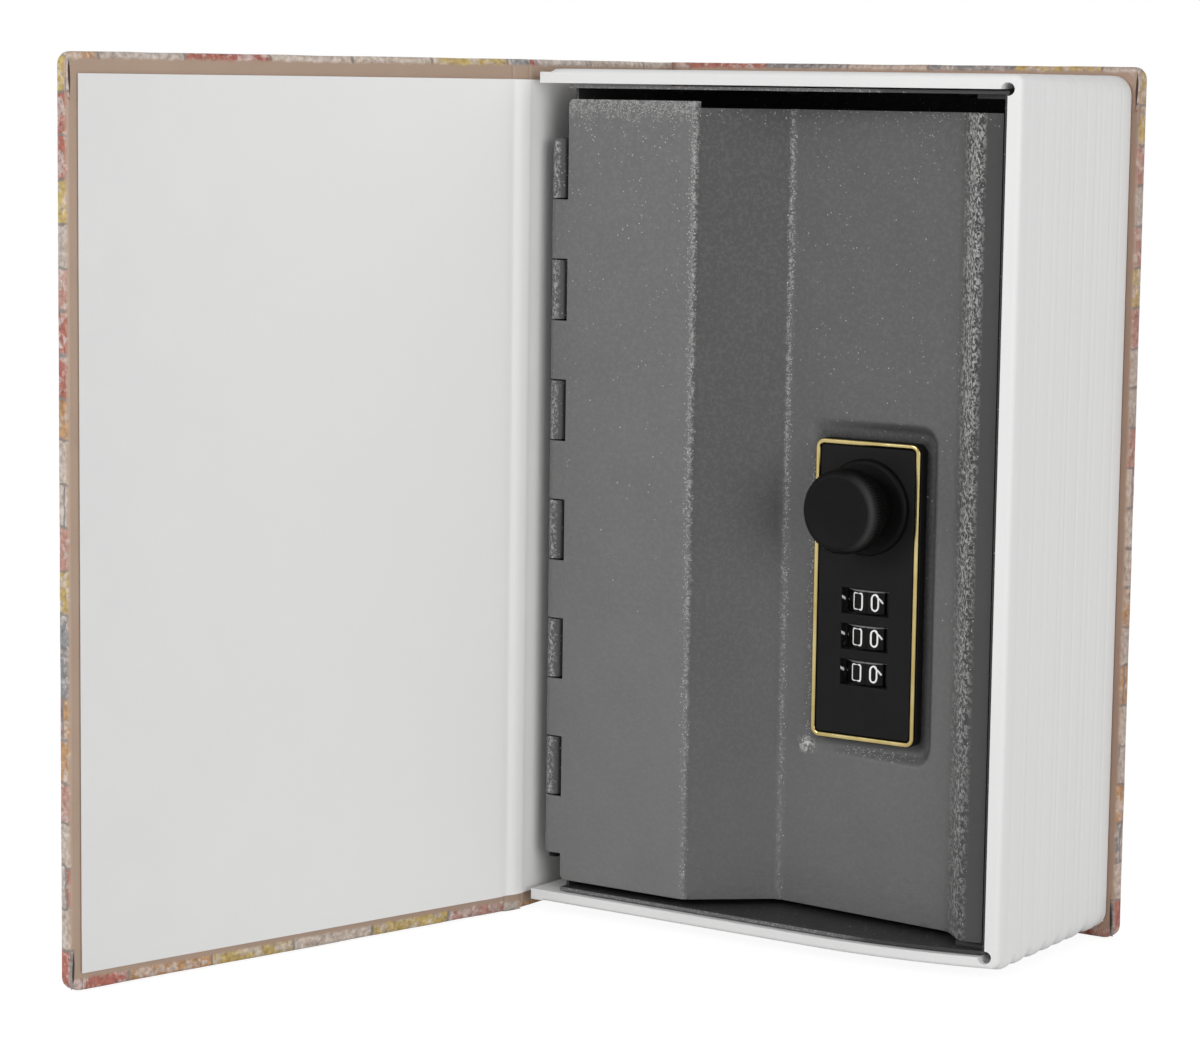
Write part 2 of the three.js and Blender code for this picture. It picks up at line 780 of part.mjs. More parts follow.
const lockRim = cut(
  plate(insetPlate(0), [plateFront - rimProud, rimBack - rimFit]),
  plate(insetPlate(rimWidth - rimFit), [plateFront - overrun, rimBack + overrun]),
);
place(book, 'lock_rim', lockRim, brass);

// Lock housing: a die-cast body behind the plate, with a chamber for the wheels and two ears

const leverUp = [chamberBottom + leverRise, chamberBottom + leverRise + leverLength];
const leverSlot = block(
  about(lockX, leverWidth + 2 * leverFit),
  [chamberBack - overrun, housingBack + overrun],
  [leverUp[0] - leverFit, leverUp[1] + leverTravel + leverFit],
);
const ears = [[plateBottom, housingBottom + overrun], [housingTop - overrun, plateTop]].map(
  (span) => block(about(lockX, earWidth), [seatBack, seatBack + earThickness], span));
const lockHousing = cut(
  join(block(housingAcross, [seatDepth, housingBack], housingUp), ...ears),
  block(chamberAcross, [seatDepth - overrun, chamberBack], chamberUp),
  upright(
    shaftRadius + shaftFit, [lockX, wheelAxisY], [housingBottom - overrun, chamberTop + shaftSeat + shaftFit]),
  level(spindleRadius + spindleFit, [lockX, knobZ], [seatDepth - overrun, housingBack + overrun], roundSides),
  leverSlot,
  ...screwHoles([seatBack - overrun, seatBack + earThickness + overrun]),
);
place(book, 'lock_housing', lockHousing, zinc);

screwSpots.forEach((spot, i) => {
  const headFront = seatBack + earThickness;
  const headBack = headFront + screwHeadHeight;
  const screw = cut(
    join(
      level(screwHeadRadius, spot, [headFront, headBack]),
      level(screwRadius, spot, [seatDepth - screwBite, headFront]),
    ),
    block(
      about(spot[0], 2 * screwHeadRadius + overrun),
      [headBack - screwSlotDepth, headBack + overrun],
      about(spot[1], screwSlotWidth),
    ),
  );
  place(book, `lock_screw_${i + 1}`, screw, steel);
});

// Number wheels on their hubs, the shaft that carries them and the spring that clicks them

const shaftSpan = [chamberBottom - shaftSeat, chamberTop + shaftSeat];
place(book, 'wheel_shaft', upright(shaftRadius, [lockX, wheelAxisY], shaftSpan), steel);

// One rounded lobe for each digit, with a finger notch between lobes
function wheelOutline() {
  const pitch = fullTurn / wheelLobes;
  const notch = pitch * wheelNotchShare;
  const shape = new THREE.Shape();
  for (let lobe = 0; lobe < wheelLobes; lobe += 1) {
    const start = (lobe - half) * pitch + notch;
    const end = (lobe + half) * pitch - notch;
    for (let step = 0; step <= wheelArcSteps; step += 1) {
      const angle = start + (end - start) * step / wheelArcSteps;
      const point = [wheelRadius * Math.cos(angle), wheelRadius * Math.sin(angle)];
      if (lobe + step === 0) shape.moveTo(...point);
      else shape.lineTo(...point);
    }
    const dip = (lobe + half) * pitch;
    const dipRadius = wheelRadius - wheelNotch;
    shape.lineTo(dipRadius * Math.cos(dip), dipRadius * Math.sin(dip));
  }
  return shape;
}

const hubBore = shaftRadius + shaftFit;
wheelHeights.forEach((z, i) => {
  const [low, high] = about(z, wheelThickness);
  const wheel = cut(
    raise(wheelOutline(), [low, high]).translate(lockX, wheelAxisY, 0),
    upright(hubRadius + hubFit, [lockX, wheelAxisY], [low - overrun, high + overrun], roundSides),
  );
  place(book, `number_wheel_${i + 1}`, wheel, knobBlack);
  const hub = cut(
    join(
      upright(hubRadius, [lockX, wheelAxisY], [low - hubFlange, high], roundSides),
      upright(hubFlangeRadius, [lockX, wheelAxisY], [low - hubFit - hubFlange, low - hubFit], roundSides),
    ),
    upright(hubBore, [lockX, wheelAxisY], [low - 2 * overrun, high + overrun]),
  );
  place(book, `wheel_hub_${i + 1}`, hub, brass);
});

const springGaps = wheelHeights.slice(1).map((z) => block(
  [lockX - springHalfWidth + springBack, lockX + springHalfWidth + overrun],
  [chamberBack - overrun, chamberBack],
  about(z + wheelPitch * half, springSlot),
));
const springSpan = [chamberBack - springSeatGap - springStrip, chamberBack - springSeatGap];
const detentSpring = cut(
  block(about(lockX, 2 * springHalfWidth), springSpan, drawnIn(chamberUp, springSeatGap)),
  ...springGaps,
);
place(book, 'detent_spring', detentSpring, steel);

// Code-change lever: a stem through the housing's slot and a head with a thumb ridge behind
const leverMiddle = (leverUp[0] + leverUp[1]) * half;
const leverHeadFront = housingBack + leverFit;
const leverHeadBack = leverHeadFront + leverHeadHeight;
const codeLever = join(
  block(about(lockX, leverWidth), [chamberBack + leverFit, leverHeadFront + leverHeadHeight * half], leverUp),
  block(about(lockX, leverHeadWidth), [leverHeadFront, leverHeadBack], about(leverMiddle, leverHeadLength)),
  block(
    about(lockX, leverHeadWidth),
    [leverHeadFront, leverHeadBack + leverGripHeight],
    about(leverMiddle, leverGripLength),
  ),
);
place(book, 'code_lever', codeLever, steel);

// Knob with a dished face and a ribbed rim, on the spindle that turns the latch cam

const collarFront = plateFront - collarHeight;
const collar = turned([
  [collarBore, collarFront],
  [collarRadius - collarEdge, collarFront],
  [collarRadius, collarFront + collarEdge],
  [collarRadius, plateFront],
  [collarBore, plateFront],
  [collarBore, collarFront],
]);
place(book, 'knob_collar', collar, knobBlack);

const knobRimBack = knobTipDepth + knobRimThickness;
const neckBack = collarFront - knobGap;
const spindleFront = knobTipDepth + spindleCover;
const rimInner = knobRadius - ribDepth;
const knobBody = turned([
  [0, knobTipDepth + knobDish],
  [knobDishRadius * half, knobTipDepth + knobDish * (1 - half * half)],
  [knobDishRadius, knobTipDepth],
  [rimInner - knobEdge, knobTipDepth],
  [rimInner, knobTipDepth + knobEdge],
  [rimInner, knobRimBack - knobEdge],
  [rimInner - knobEdge, knobRimBack],
  [knobNeckRadius, knobRimBack],
  [knobNeckRadius - knobTaper, neckBack],
  [knobFootRadius, neckBack],
  [knobFootRadius, plateFront - knobGap],
  [0, plateFront - knobGap],
], roundSides);

function ribbedOutline() {
  const shape = new THREE.Shape();
  for (let i = 0; i < 2 * knobRibs; i += 1) {
    const angle = fullTurn * i / (2 * knobRibs);
    const radius = i % 2 === 0 ? knobRadius : knobRadius - 2 * ribDepth;
    const point = [lockX + radius * Math.cos(angle), knobZ + radius * Math.sin(angle)];
    if (i === 0) shape.moveTo(...point);
    else shape.lineTo(...point);
  }
  return shape;
}

const knob = cut(
  join(knobBody, plate(ribbedOutline(), [knobTipDepth + knobEdge, knobRimBack - knobEdge])),
  level(spindleRadius + spindleFit, [lockX, knobZ], [spindleFront - spindleFit, plateFront], roundSides),
);
place(book, 'knob', knob, knobBlack);

const washerBack = camBack + washerThickness;
const threadEnd = washerBack + threadLength;
const spindle = join(
  level(spindleRadius, [lockX, knobZ], [spindleFront, camFront - squareFit], roundSides),
  block(about(lockX, squareSide), [camFront - overrun, camBack - squareFit], about(knobZ, squareSide)),
  level(threadRadius, [lockX, knobZ], [camBack - overrun, threadEnd]),
);
place(book, 'spindle', spindle, steel);

// The cam points up while the door can open, and turns a quarter towards the keeper to lock it
function camOutline() {
  const tip = knobZ + camLength - camTipRadius;
  const shape = new THREE.Shape();
  shape.moveTo(lockX + camTipRadius, tip);
  shape.absarc(lockX, tip, camTipRadius, 0, halfTurn);
  shape.lineTo(lockX - camHubRadius, knobZ);
  shape.absarc(lockX, knobZ, camHubRadius, halfTurn, fullTurn);
  return shape;
}

const squareHole = squareSide + 2 * squareFit;
const latchCam = cut(
  plate(camOutline(), [camFront, camBack]),
  block(about(lockX, squareHole), [camFront - overrun, camBack + overrun], about(knobZ, squareHole)),
);
place(book, 'latch_cam', latchCam, steel);
const threadHole = (span) => level(threadRadius + threadFit, [lockX, knobZ], span);
const camWasher = cut(
  level(washerRadius, [lockX, knobZ], [camBack, washerBack], roundSides),
  threadHole([camBack - overrun, washerBack + overrun]),
);
place(book, 'cam_washer', camWasher, steel);
const nutRadius = nutAcross * half / Math.cos(halfTurn / hexSides);
const camNut = cut(
  level(nutRadius, [lockX, knobZ], [washerBack, washerBack + nutHeight], hexSides),
  threadHole([washerBack - overrun, washerBack + nutHeight + overrun]),
);
place(book, 'cam_nut', camNut, steel);

book.position.set(-(jointWidth + coverWidth) * half, -(boardInner + boardOuter) * half, 0);

const bookSafe = new THREE.Group();
bookSafe.add(book);

export default bookSafe;
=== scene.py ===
# %% [markdown]
# # Dressing a book safe
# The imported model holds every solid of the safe. This notebook loads it as a fixed frame, sets
# the camera where the photograph was taken, and gives each part its real surface: printed paper
# over board, white endpapers, moulded page edges, powder-coated steel and a small brass-rimmed
# lock.

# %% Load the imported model
import json
import math
from functools import partialmethod
import bmesh
import bpy
from mathutils import Matrix, Vector, noise

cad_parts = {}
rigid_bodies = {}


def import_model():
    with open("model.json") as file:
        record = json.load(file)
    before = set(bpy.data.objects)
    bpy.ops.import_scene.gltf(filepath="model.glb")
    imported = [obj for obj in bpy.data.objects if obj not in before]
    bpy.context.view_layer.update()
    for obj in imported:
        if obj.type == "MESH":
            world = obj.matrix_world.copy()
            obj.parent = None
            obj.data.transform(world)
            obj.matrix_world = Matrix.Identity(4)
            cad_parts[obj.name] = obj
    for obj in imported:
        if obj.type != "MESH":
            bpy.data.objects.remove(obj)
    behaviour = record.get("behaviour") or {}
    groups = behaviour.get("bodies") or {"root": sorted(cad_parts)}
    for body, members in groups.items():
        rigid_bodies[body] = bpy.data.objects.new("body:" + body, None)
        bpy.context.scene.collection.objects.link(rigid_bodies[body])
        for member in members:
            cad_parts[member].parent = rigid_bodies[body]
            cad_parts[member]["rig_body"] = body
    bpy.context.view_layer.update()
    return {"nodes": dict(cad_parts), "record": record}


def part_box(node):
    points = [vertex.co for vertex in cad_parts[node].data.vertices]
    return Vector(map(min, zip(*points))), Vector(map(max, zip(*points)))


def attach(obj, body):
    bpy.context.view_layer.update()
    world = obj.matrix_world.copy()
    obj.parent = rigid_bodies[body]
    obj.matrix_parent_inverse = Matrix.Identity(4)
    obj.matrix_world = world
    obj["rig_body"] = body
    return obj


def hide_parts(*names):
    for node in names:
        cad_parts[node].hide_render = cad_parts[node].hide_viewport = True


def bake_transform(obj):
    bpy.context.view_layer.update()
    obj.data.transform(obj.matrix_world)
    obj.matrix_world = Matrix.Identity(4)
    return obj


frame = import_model()
nodes = frame["nodes"]

# %% [markdown]
# Sizes are easier to read in millimetres, counted the way a bookbinder would: across from the
# hinge line of the front cover, back from the front edge of the pages, and up from the table.
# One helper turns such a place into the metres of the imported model, and another reads a solid's
# box back in millimetres.

# %% Millimetres of the book, metres of the model
MM = 0.001
HINGE_X = 58.6
FRONT_Y = 54.95


def place(x, y, z):
    return Vector((x - HINGE_X, y - FRONT_Y, z)) * MM


def span(name):
    low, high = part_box(name)
    shift = Vector((HINGE_X, FRONT_Y, 0))
    return low / MM + shift, high / MM + shift


board_low, board_high = span("back_board")
frame_low, frame_high = span("page_frame")
print("back board", [round(v, 2) for v in board_low], [round(v, 2) for v in board_high])

# %% [markdown]
# ## Camera
# The photograph was taken with a long lens from the right of the open book and a little above
# its middle. The place, the turn and the lens come from fitting the edges of the object to the
# edges in the picture, and a small roll is part of that fit.

# %% Place the camera
def add_object(name, data):
    made = bpy.data.objects.new(name, data)
    bpy.context.scene.collection.objects.link(made)
    return made


PHOTO_WIDTH, LENS_PIXELS, SENSOR = 1200, 3556.348, 36
CAMERA_SPOT = (435.7304, -601.8953, 175.5677)
YAW, PITCH, ROLL = 0.605671, 0.123248, 0.013471
ahead = Vector((-math.sin(YAW) * math.cos(PITCH), math.cos(YAW) * math.cos(PITCH), -math.sin(PITCH)))
level_right = Vector((math.cos(YAW), math.sin(YAW), 0))
level_up = level_right.cross(ahead)
right = level_right * math.cos(ROLL) + level_up * math.sin(ROLL)
up = level_up * math.cos(ROLL) - level_right * math.sin(ROLL)

camera_data = bpy.data.cameras.new("camera")
camera_data.sensor_fit = "HORIZONTAL"
camera_data.sensor_width = SENSOR
camera_data.lens = LENS_PIXELS / PHOTO_WIDTH * SENSOR
camera_data.clip_start = 0.05
camera = add_object("camera", camera_data)
turn = Matrix((right, up, -ahead)).transposed().to_4x4()
camera.matrix_world = Matrix.Translation(place(*CAMERA_SPOT)) @ turn
bpy.context.scene.camera = camera
print("lens", round(camera_data.lens, 2), "mm from", [round(v, 4) for v in camera.location])

# %% [markdown]
# ## Light, table and background
# The picture is a cut-out on white with very even light, a little stronger from the upper left.
# The background turns white through Light Path, for the camera only, so the lamps can stay at
# the level at which a colour looks as it is written. The table is real enough to keep a soft
# shadow under the book. A signal is a number or a colour on its way through a node tree, and a
# sum written with signals becomes the math nodes that work it out.

# %% Helpers for nodes
class Signal:
    def __init__(self, socket):
        self.socket, self.tree = socket, socket.id_data

    def worked(self, operation, *others):
        return calc(operation, self, *others)

    def __rsub__(self, other):
        return calc("SUBTRACT", other, self)

    __add__ = partialmethod(worked, "ADD")
    __sub__ = partialmethod(worked, "SUBTRACT")
    __mul__ = partialmethod(worked, "MULTIPLY")
    __truediv__ = partialmethod(worked, "DIVIDE")
    __or__ = partialmethod(worked, "MAXIMUM")
    __abs__ = partialmethod(worked, "ABSOLUTE")


def node(tree, kind, inputs=None, **settings):
    made = tree.nodes.new(kind)
    for name, value in settings.items():
        setattr(made, name, value)
    for name, value in (inputs or {}).items():
        if isinstance(value, Signal):
            tree.links.new(value.socket, made.inputs[name])
        else:
            made.inputs[name].default_value = value
    return made


def out(made, key=0):
    return Signal(made.outputs[key])


def derived(values, kind, inputs, key=0, **settings):
    tree = next(value.tree for value in values if isinstance(value, Signal))
    return out(node(tree, kind, inputs, **settings), key)


def calc(operation, *values):
    return derived(values, "ShaderNodeMath", dict(enumerate(values)), operation=operation)


def vector_calc(operation, *values):
    return derived(values, "ShaderNodeVectorMath", dict(enumerate(values)), operation=operation)


def mixed(factor, first, second, mode="MIX"):
    values = (factor, first, second)
    return derived(values, "ShaderNodeMix", dict(zip((0, 6, 7), values)), 2,
                   data_type="RGBA", blend_type=mode, clamp_factor=True)


def noisy(vector, scale, detail, roughness=0.5, distortion=0.0, key="Fac"):
    inputs = {"Vector": vector, "Scale": scale, "Detail": detail, "Roughness": roughness,
              "Distortion": distortion}
    return derived([vector], "ShaderNodeTexNoise", inputs, key)


def slope(value, start, end, low=0.0, high=1.0):
    inputs = {"Value": value, "From Min": start, "From Max": end, "To Min": low, "To Max": high}
    return derived([value], "ShaderNodeMapRange", inputs)


def near(value, middle, width, strength):
    return slope(abs(value - middle), width, 0.0, 0.0, strength)


def ramp(value, stops, interpolation="LINEAR"):
    made = node(value.tree, "ShaderNodeValToRGB", {0: value})
    made.color_ramp.interpolation = interpolation
    elements = made.color_ramp.elements
    for position, color in stops[1:-1]:
        elements.new(position).color = color
    for element, (position, color) in ((elements[0], stops[0]), (elements[-1], stops[-1])):
        element.position, element.color = position, color
    return out(made)


def shade(red, green, blue):
    def linear(value):
        value /= 255
        return value / 12.92 if value <= 0.04045 else ((value + 0.055) / 1.055) ** 2.4
    return (linear(red), linear(green), linear(blue), 1.0)


def grey(level):
    return shade(level, level, level)


print("mid grey 128 is", round(grey(128)[0], 3), "in linear light")

# %% World and table
scene = bpy.context.scene
scene.view_settings.view_transform = "Standard"
world = bpy.data.worlds.new("white room")
scene.world = world
world.use_nodes = True
sky = world.node_tree
sky.nodes.clear()


def white_when_seen(tree, real, white, share, output):
    path = node(tree, "ShaderNodeLightPath")
    seen = (out(path, "Is Camera Ray") | out(path, "Is Transmission Ray")) * share
    both = node(tree, "ShaderNodeMixShader", {0: seen, 1: out(real), 2: out(white)})
    node(tree, output, {"Surface": out(both)})


room = node(sky, "ShaderNodeBackground", {"Color": (1, 1, 1, 1), "Strength": 0.62})
white = node(sky, "ShaderNodeBackground", {"Color": (1, 1, 1, 1), "Strength": 1.0})
white_when_seen(sky, room, white, 1.0, "ShaderNodeOutputWorld")

table_material = bpy.data.materials.new("pale table")
table_material.use_nodes = True
cloth = table_material.node_tree
cloth.nodes.clear()
grain = noisy(out(node(cloth, "ShaderNodeTexCoord"), "Object"), 40.0, 3.0)
tone = mixed(grain, (0.86, 0.86, 0.86, 1), (0.9, 0.9, 0.9, 1))
matte = node(cloth, "ShaderNodeBsdfDiffuse", {"Color": tone})
glow = node(cloth, "ShaderNodeEmission", {"Color": (1, 1, 1, 1), "Strength": 1.12})
white_when_seen(cloth, matte, glow, 0.82, "ShaderNodeOutputMaterial")

TABLE_RADIUS, TABLE_DROP = 2.4, 0.0002
table_mesh = bpy.data.meshes.new("table")
shape = bmesh.new()
bmesh.ops.create_circle(shape, cap_ends=True, segments=64, radius=TABLE_RADIUS)
bmesh.ops.translate(shape, vec=(0, 0, -TABLE_DROP), verts=shape.verts)
shape.to_mesh(table_mesh)
shape.free()
table = add_object("table", table_mesh)
table_mesh.materials.append(table_material)
print("table", round(table.dimensions.x, 2), "m across")

# %% Lamps
def lamp(name, spot, size, power):
    data = bpy.data.lights.new(name, "AREA")
    data.shape = "DISK"
    data.size = size
    data.energy = power
    made = add_object(name, data)
    made.location = spot
    made.rotation_euler = (Vector((0, -0.03, 0.09)) - Vector(spot)).to_track_quat("-Z", "Y").to_euler()


lamp("key", (-0.35, -1.3, 0.6), 0.5, 5.1)
lamp("fill", (1.28, -0.7, 0.3), 0.9, 7.6)

# %% [markdown]
# ## Surfaces that many materials share
# Four effects come back on several finishes, so each is one node group with named sockets:
# the fibres and cloudiness of paper, the leathery grain of powder coat with its bright flecks,
# which paint glints on the coat, the fine texture of moulded plastic, and the scuffs of handled metal.

# %% Build a node group
def group(name, sizes, *results):
    tree = bpy.data.node_groups.new(name, "ShaderNodeTree")
    tree.interface.new_socket(name="Vector", in_out="INPUT", socket_type="NodeSocketVector")
    for label, value in sizes.items():
        socket = tree.interface.new_socket(name=label, in_out="INPUT", socket_type="NodeSocketFloat")
        socket.default_value = value
    for label in results:
        kind = "NodeSocketColor" if label == "Color" else "NodeSocketFloat"
        tree.interface.new_socket(name=label, in_out="OUTPUT", socket_type=kind)
    given = node(tree, "NodeGroupInput")
    return tree, [out(given, label) for label in ("Vector", *sizes)], node(tree, "NodeGroupOutput").inputs


def give(sockets, **values):
    for label, value in values.items():
        value.tree.links.new(value.socket, sockets[label.replace("_", " ")])


paper_fibre, (spot, cloud_size, fibre_size), result = group(
    "paper fibre", {"Cloud size": 60.0, "Fibre size": 2600.0}, "Tone", "Height")
fibre = noisy(spot, fibre_size, 4.0, 0.7)
give(result, Tone=fibre * 0.35 + noisy(spot, cloud_size, 3.0) * 0.65, Height=fibre)

powder_coat, (spot, grain, density), result = group(
    "powder coat", {"Grain": 900.0, "Fleck density": 0.1}, "Height", "Fleck", "Cloud", "Wrinkle")
warp = node(powder_coat, "ShaderNodeTexNoise", {"Vector": spot, "Scale": grain * 0.5, "Detail": 3.0})
bent = vector_calc("MULTIPLY_ADD", out(warp, "Color"), (0.0009, 0.0009, 0.0009), spot)
drops = node(powder_coat, "ShaderNodeTexVoronoi", {"Vector": bent, "Scale": grain * 2.9})
chance = node(powder_coat, "ShaderNodeSeparateColor", {0: out(drops, "Color")})
chosen = calc("LESS_THAN", out(chance), density)
# bright flecks: in the colour they are painted glints on the grain, and they also raise the bump
fleck = chosen * slope(out(drops, "Distance"), 0.52, 0.2) * (out(chance, 1) * 0.65 + 0.35)
pits = noisy(spot, grain * 2.6, 3.0, 0.65)
wrinkle = slope(noisy(spot, grain * 1.35, 3.0, 0.6, 0.6), 0.47, 0.6)
give(result, Height=out(warp, "Fac") * 0.9 + fleck * 0.7 + pits * 0.4, Fleck=fleck,
     Cloud=noisy(spot, 55.0, 2.0), Wrinkle=wrinkle)

moulded, (spot, grain), result = group("moulded plastic", {"Grain": 2200.0}, "Height", "Tone")
give(result, Height=noisy(spot, grain, 3.0, 0.6), Tone=noisy(spot, 120.0, 2.0))

scuffs, (spot, scale), result = group("handled metal", {"Scale": 400.0}, "Height", "Scuff")
stretched = out(node(scuffs, "ShaderNodeMapping", {"Vector": spot, "Scale": (1.0, 1.0, 0.12)}))
give(result, Height=noisy(stretched, scale, 4.0, 0.7), Scuff=noisy(spot, 180.0, 3.0))
print("groups", sorted(g.name for g in bpy.data.node_groups))

# %% [markdown]
# A material starts from the same few nodes each time: the coordinates, the shader, and one bump
# whose strength is set by the finish. The class holds them, so that each recipe below only says
# what is special about it. It also gives the coordinates in millimetres of the book, which is
# what a mask along a fold or an edge needs.

# %% Start a material
class Recipe:
    def __init__(self, name, roughness, **more):
        self.material = bpy.data.materials.new(name)
        self.material.use_nodes = True
        self.tree = self.material.node_tree
        self.sockets = self.tree.nodes["Principled BSDF"].inputs
        for label, value in {"Roughness": roughness, **more}.items():
            self.sockets[label.replace("_", " ")].default_value = value
        self.place = out(node(self.tree, "ShaderNodeTexCoord"), "Object")

    def effect(self, tree, place=None, **values):
        inputs = {label.replace("_", " "): value for label, value in values.items()}
        made = node(self.tree, "ShaderNodeGroup", {"Vector": place or self.place, **inputs}, node_tree=tree)
        return {socket.name: Signal(socket) for socket in made.outputs}

    def attribute(self, name):
        return out(node(self.tree, "ShaderNodeAttribute", attribute_name=name), "Fac")

    def axes(self):
        parts = node(self.tree, "ShaderNodeSeparateXYZ", {0: self.place})
        x, y, z = (out(parts, key) * 1000.0 for key in range(3))
        return x + HINGE_X, y + FRONT_Y, z

    def finish(self, color, height, distance, strength, **more):
        bump = node(self.tree, "ShaderNodeBump",
                    {"Height": height, "Distance": distance, "Strength": strength})
        give(self.sockets, Base_Color=color, Normal=out(bump), **more)


print("a recipe holds the material, its shader and its coordinates")

# %% [markdown]
# ## Papers
# The endpapers are uncoated white paper. Toward the joint their colour is painted whiter, a painted
# light that cancels the shade of the book block there, so the sheet looks as light as at the far
# edge. The turned-in rim of the cover is the back of the same wrapper, a flat tan. The wrapper's
# outside is a generic old brick wall in faded house paints, worked out from rows and columns: each
# brick draws its paint from a short list, the mortar is dark and sunken, and worn patches show lime
# through the paint.

# %% White paper
white_paper = Recipe("white endpaper", 0.82)
fibres = white_paper.effect(paper_fibre)
plain = mixed(fibres["Tone"], grey(217), shade(226, 226, 225))
# painted light: the paper is made whiter toward the joint to cancel the shade that falls there
painted_light_toward_joint = slope(white_paper.axes()[1], -105.05, -7.05)
white_paper.finish(mixed(painted_light_toward_joint, plain, shade(238, 238, 237)), fibres["Height"], 0.00003, 0.35)
print("paper:", white_paper.material.name)

# %% Painted bricks
bricks, (spot, length, course), result = group(
    "painted bricks", {"Length": 20.0, "Height": 8.2}, "Color", "Relief")
sway = vector_calc("MULTIPLY_ADD", noisy(spot, 260.0, 3.0, key="Color"), (0.0022, 0.0022, 0.0022),
                   (-0.0011, -0.0011, -0.0011))
parts = node(bricks, "ShaderNodeSeparateXYZ", {0: vector_calc("ADD", spot, sway)})
height = out(parts, 1) * 1000.0 / course
row = calc("FLOOR", height)
row_shift = derived([row], "ShaderNodeTexWhiteNoise", {"W": row}, "Value", noise_dimensions="1D")
shifted = out(parts, 0) * 1000.0 / length + (row * 0.5 + row_shift)
cell = node(bricks, "ShaderNodeCombineXYZ", {0: calc("FLOOR", shifted), 1: row})
draw = node(bricks, "ShaderNodeTexWhiteNoise", {"Vector": out(cell)}, noise_dimensions="2D")
PAINTS = [(0.0, shade(200, 122, 108)), (0.14, shade(228, 216, 204)), (0.34, shade(160, 164, 170)),
          (0.43, shade(216, 172, 124)), (0.56, shade(212, 162, 150)), (0.7, shade(218, 210, 202)),
          (0.88, shade(222, 198, 126)), (1.0, shade(218, 192, 126))]
worn = noisy(spot, 300.0, 6.0, 0.7)
limed = mixed(slope(worn, 0.49, 0.56) * 0.75, ramp(out(draw, "Value"), PAINTS, "CONSTANT"),
              shade(236, 228, 224))
streak = slope(noisy(spot, 800.0, 4.0, 0.6), 0.3, 0.62)
stained = mixed(streak, shade(172, 160, 152), shade(255, 253, 250))
painted = mixed(0.9, limed, stained, "MULTIPLY")
dull = mixed(noisy(spot, 90.0, 5.0) * 0.6, painted, shade(176, 162, 152), "MULTIPLY")


def joint_mask(value, width):
    return slope(abs(calc("FRACT", value) - 0.5), 0.5 - width, 0.5 - width * 0.5)


mortar = joint_mask(shifted, 0.02) | joint_mask(height, 0.045)
pattern = mixed(mortar, dull, mixed(worn, shade(70, 62, 60), shade(176, 166, 160)))
give(result, Color=pattern, Relief=1.0 - mortar)

printed = Recipe("printed brick paper", 0.48, Coat_Weight=0.12, Coat_Roughness=0.35)
wall = printed.effect(bricks, out(node(printed.tree, "ShaderNodeUVMap", uv_map="print")))
fibres = printed.effect(paper_fibre, Cloud_size=120.0)
ragged = printed.attribute("turn_in") + (noisy(printed.place, 420.0, 5.0) * 1.2 - 0.6)
tan = mixed(fibres["Tone"], shade(162, 137, 119), shade(177, 153, 134))
paper = mixed(slope(ragged, -0.3, 0.3), wall["Color"], tan)
# painted shade: from about 49 to 53 mm deep the paper is multiplied by a pinkish grey, for the shade in the
# corner between the page frame and the back board
shaded_paper = mixed(1.0, paper, shade(236, 228, 224), "MULTIPLY")
printed.finish(mixed(slope(printed.axes()[1], 48.95, 52.95), paper, shaded_paper), wall["Relief"], 0.00002, 0.5)
print("brick paints:", len(PAINTS))

# %% [markdown]
# ## Plastics, paints and metals
# The page frame is off-white moulded plastic whose fine lines all run across the depth, so its
# pattern only reads the depth. Powder coat is mid grey; painted shade darkens the door's recess and
# right-hand panels, a painted shadow lies round the lock's seat, the inside of the box is painted
# dark as shade, and bright flecks paint glints along the folds and edges. The lock is matte black
# with a polished brass rim whose sides are painted dark as shade; everything behind the door is
# plated steel or cast zinc.

# %% Page frame plastic
page_plastic = Recipe("moulded page plastic", 0.5)
stretched = out(node(page_plastic.tree, "ShaderNodeMapping",
                     {"Vector": page_plastic.place, "Scale": (0.02, 1.0, 0.02)}))
lines = noisy(stretched, 1500.0, 5.0, 0.6) * 0.5 + noisy(stretched, 320.0, 3.0) * 0.5
skin = page_plastic.effect(moulded)
page_plastic.finish(mixed(lines, grey(216), shade(225, 225, 224)), skin["Height"] * 0.15 + lines,
                    0.00008, 0.3)
print("page plastic reads only the depth for its lines")

# %% Powder coats
def powder(name, dark, light, glint_color, roughness, glint_flecks_of, painted_shade_of):
    recipe = Recipe(name, roughness)
    axes = recipe.axes()
    flecks, creases = glint_flecks_of(recipe, *axes)
    coat = recipe.effect(powder_coat, Grain=950.0, Fleck_density=flecks)
    # painted shade: the coat colour is multiplied by each finish's shade mask
    shaded_coat = mixed(1.0, mixed(coat["Cloud"], dark, light), painted_shade_of(*axes), "MULTIPLY")
    # painted highlight: where flecks and lit wrinkles lie, the colour turns to the glint colour
    shine = coat["Fleck"] | coat["Wrinkle"] * creases
    recipe.finish(mixed(shine, shaded_coat, glint_color), coat["Height"], 0.0002, 0.7,
                  Roughness=shine * -0.15 + roughness)
    return recipe


def grey_steps(value, reach, steps):
    return ramp(value / reach, [(spot / reach, (level, level, level, 1)) for spot, level in steps])
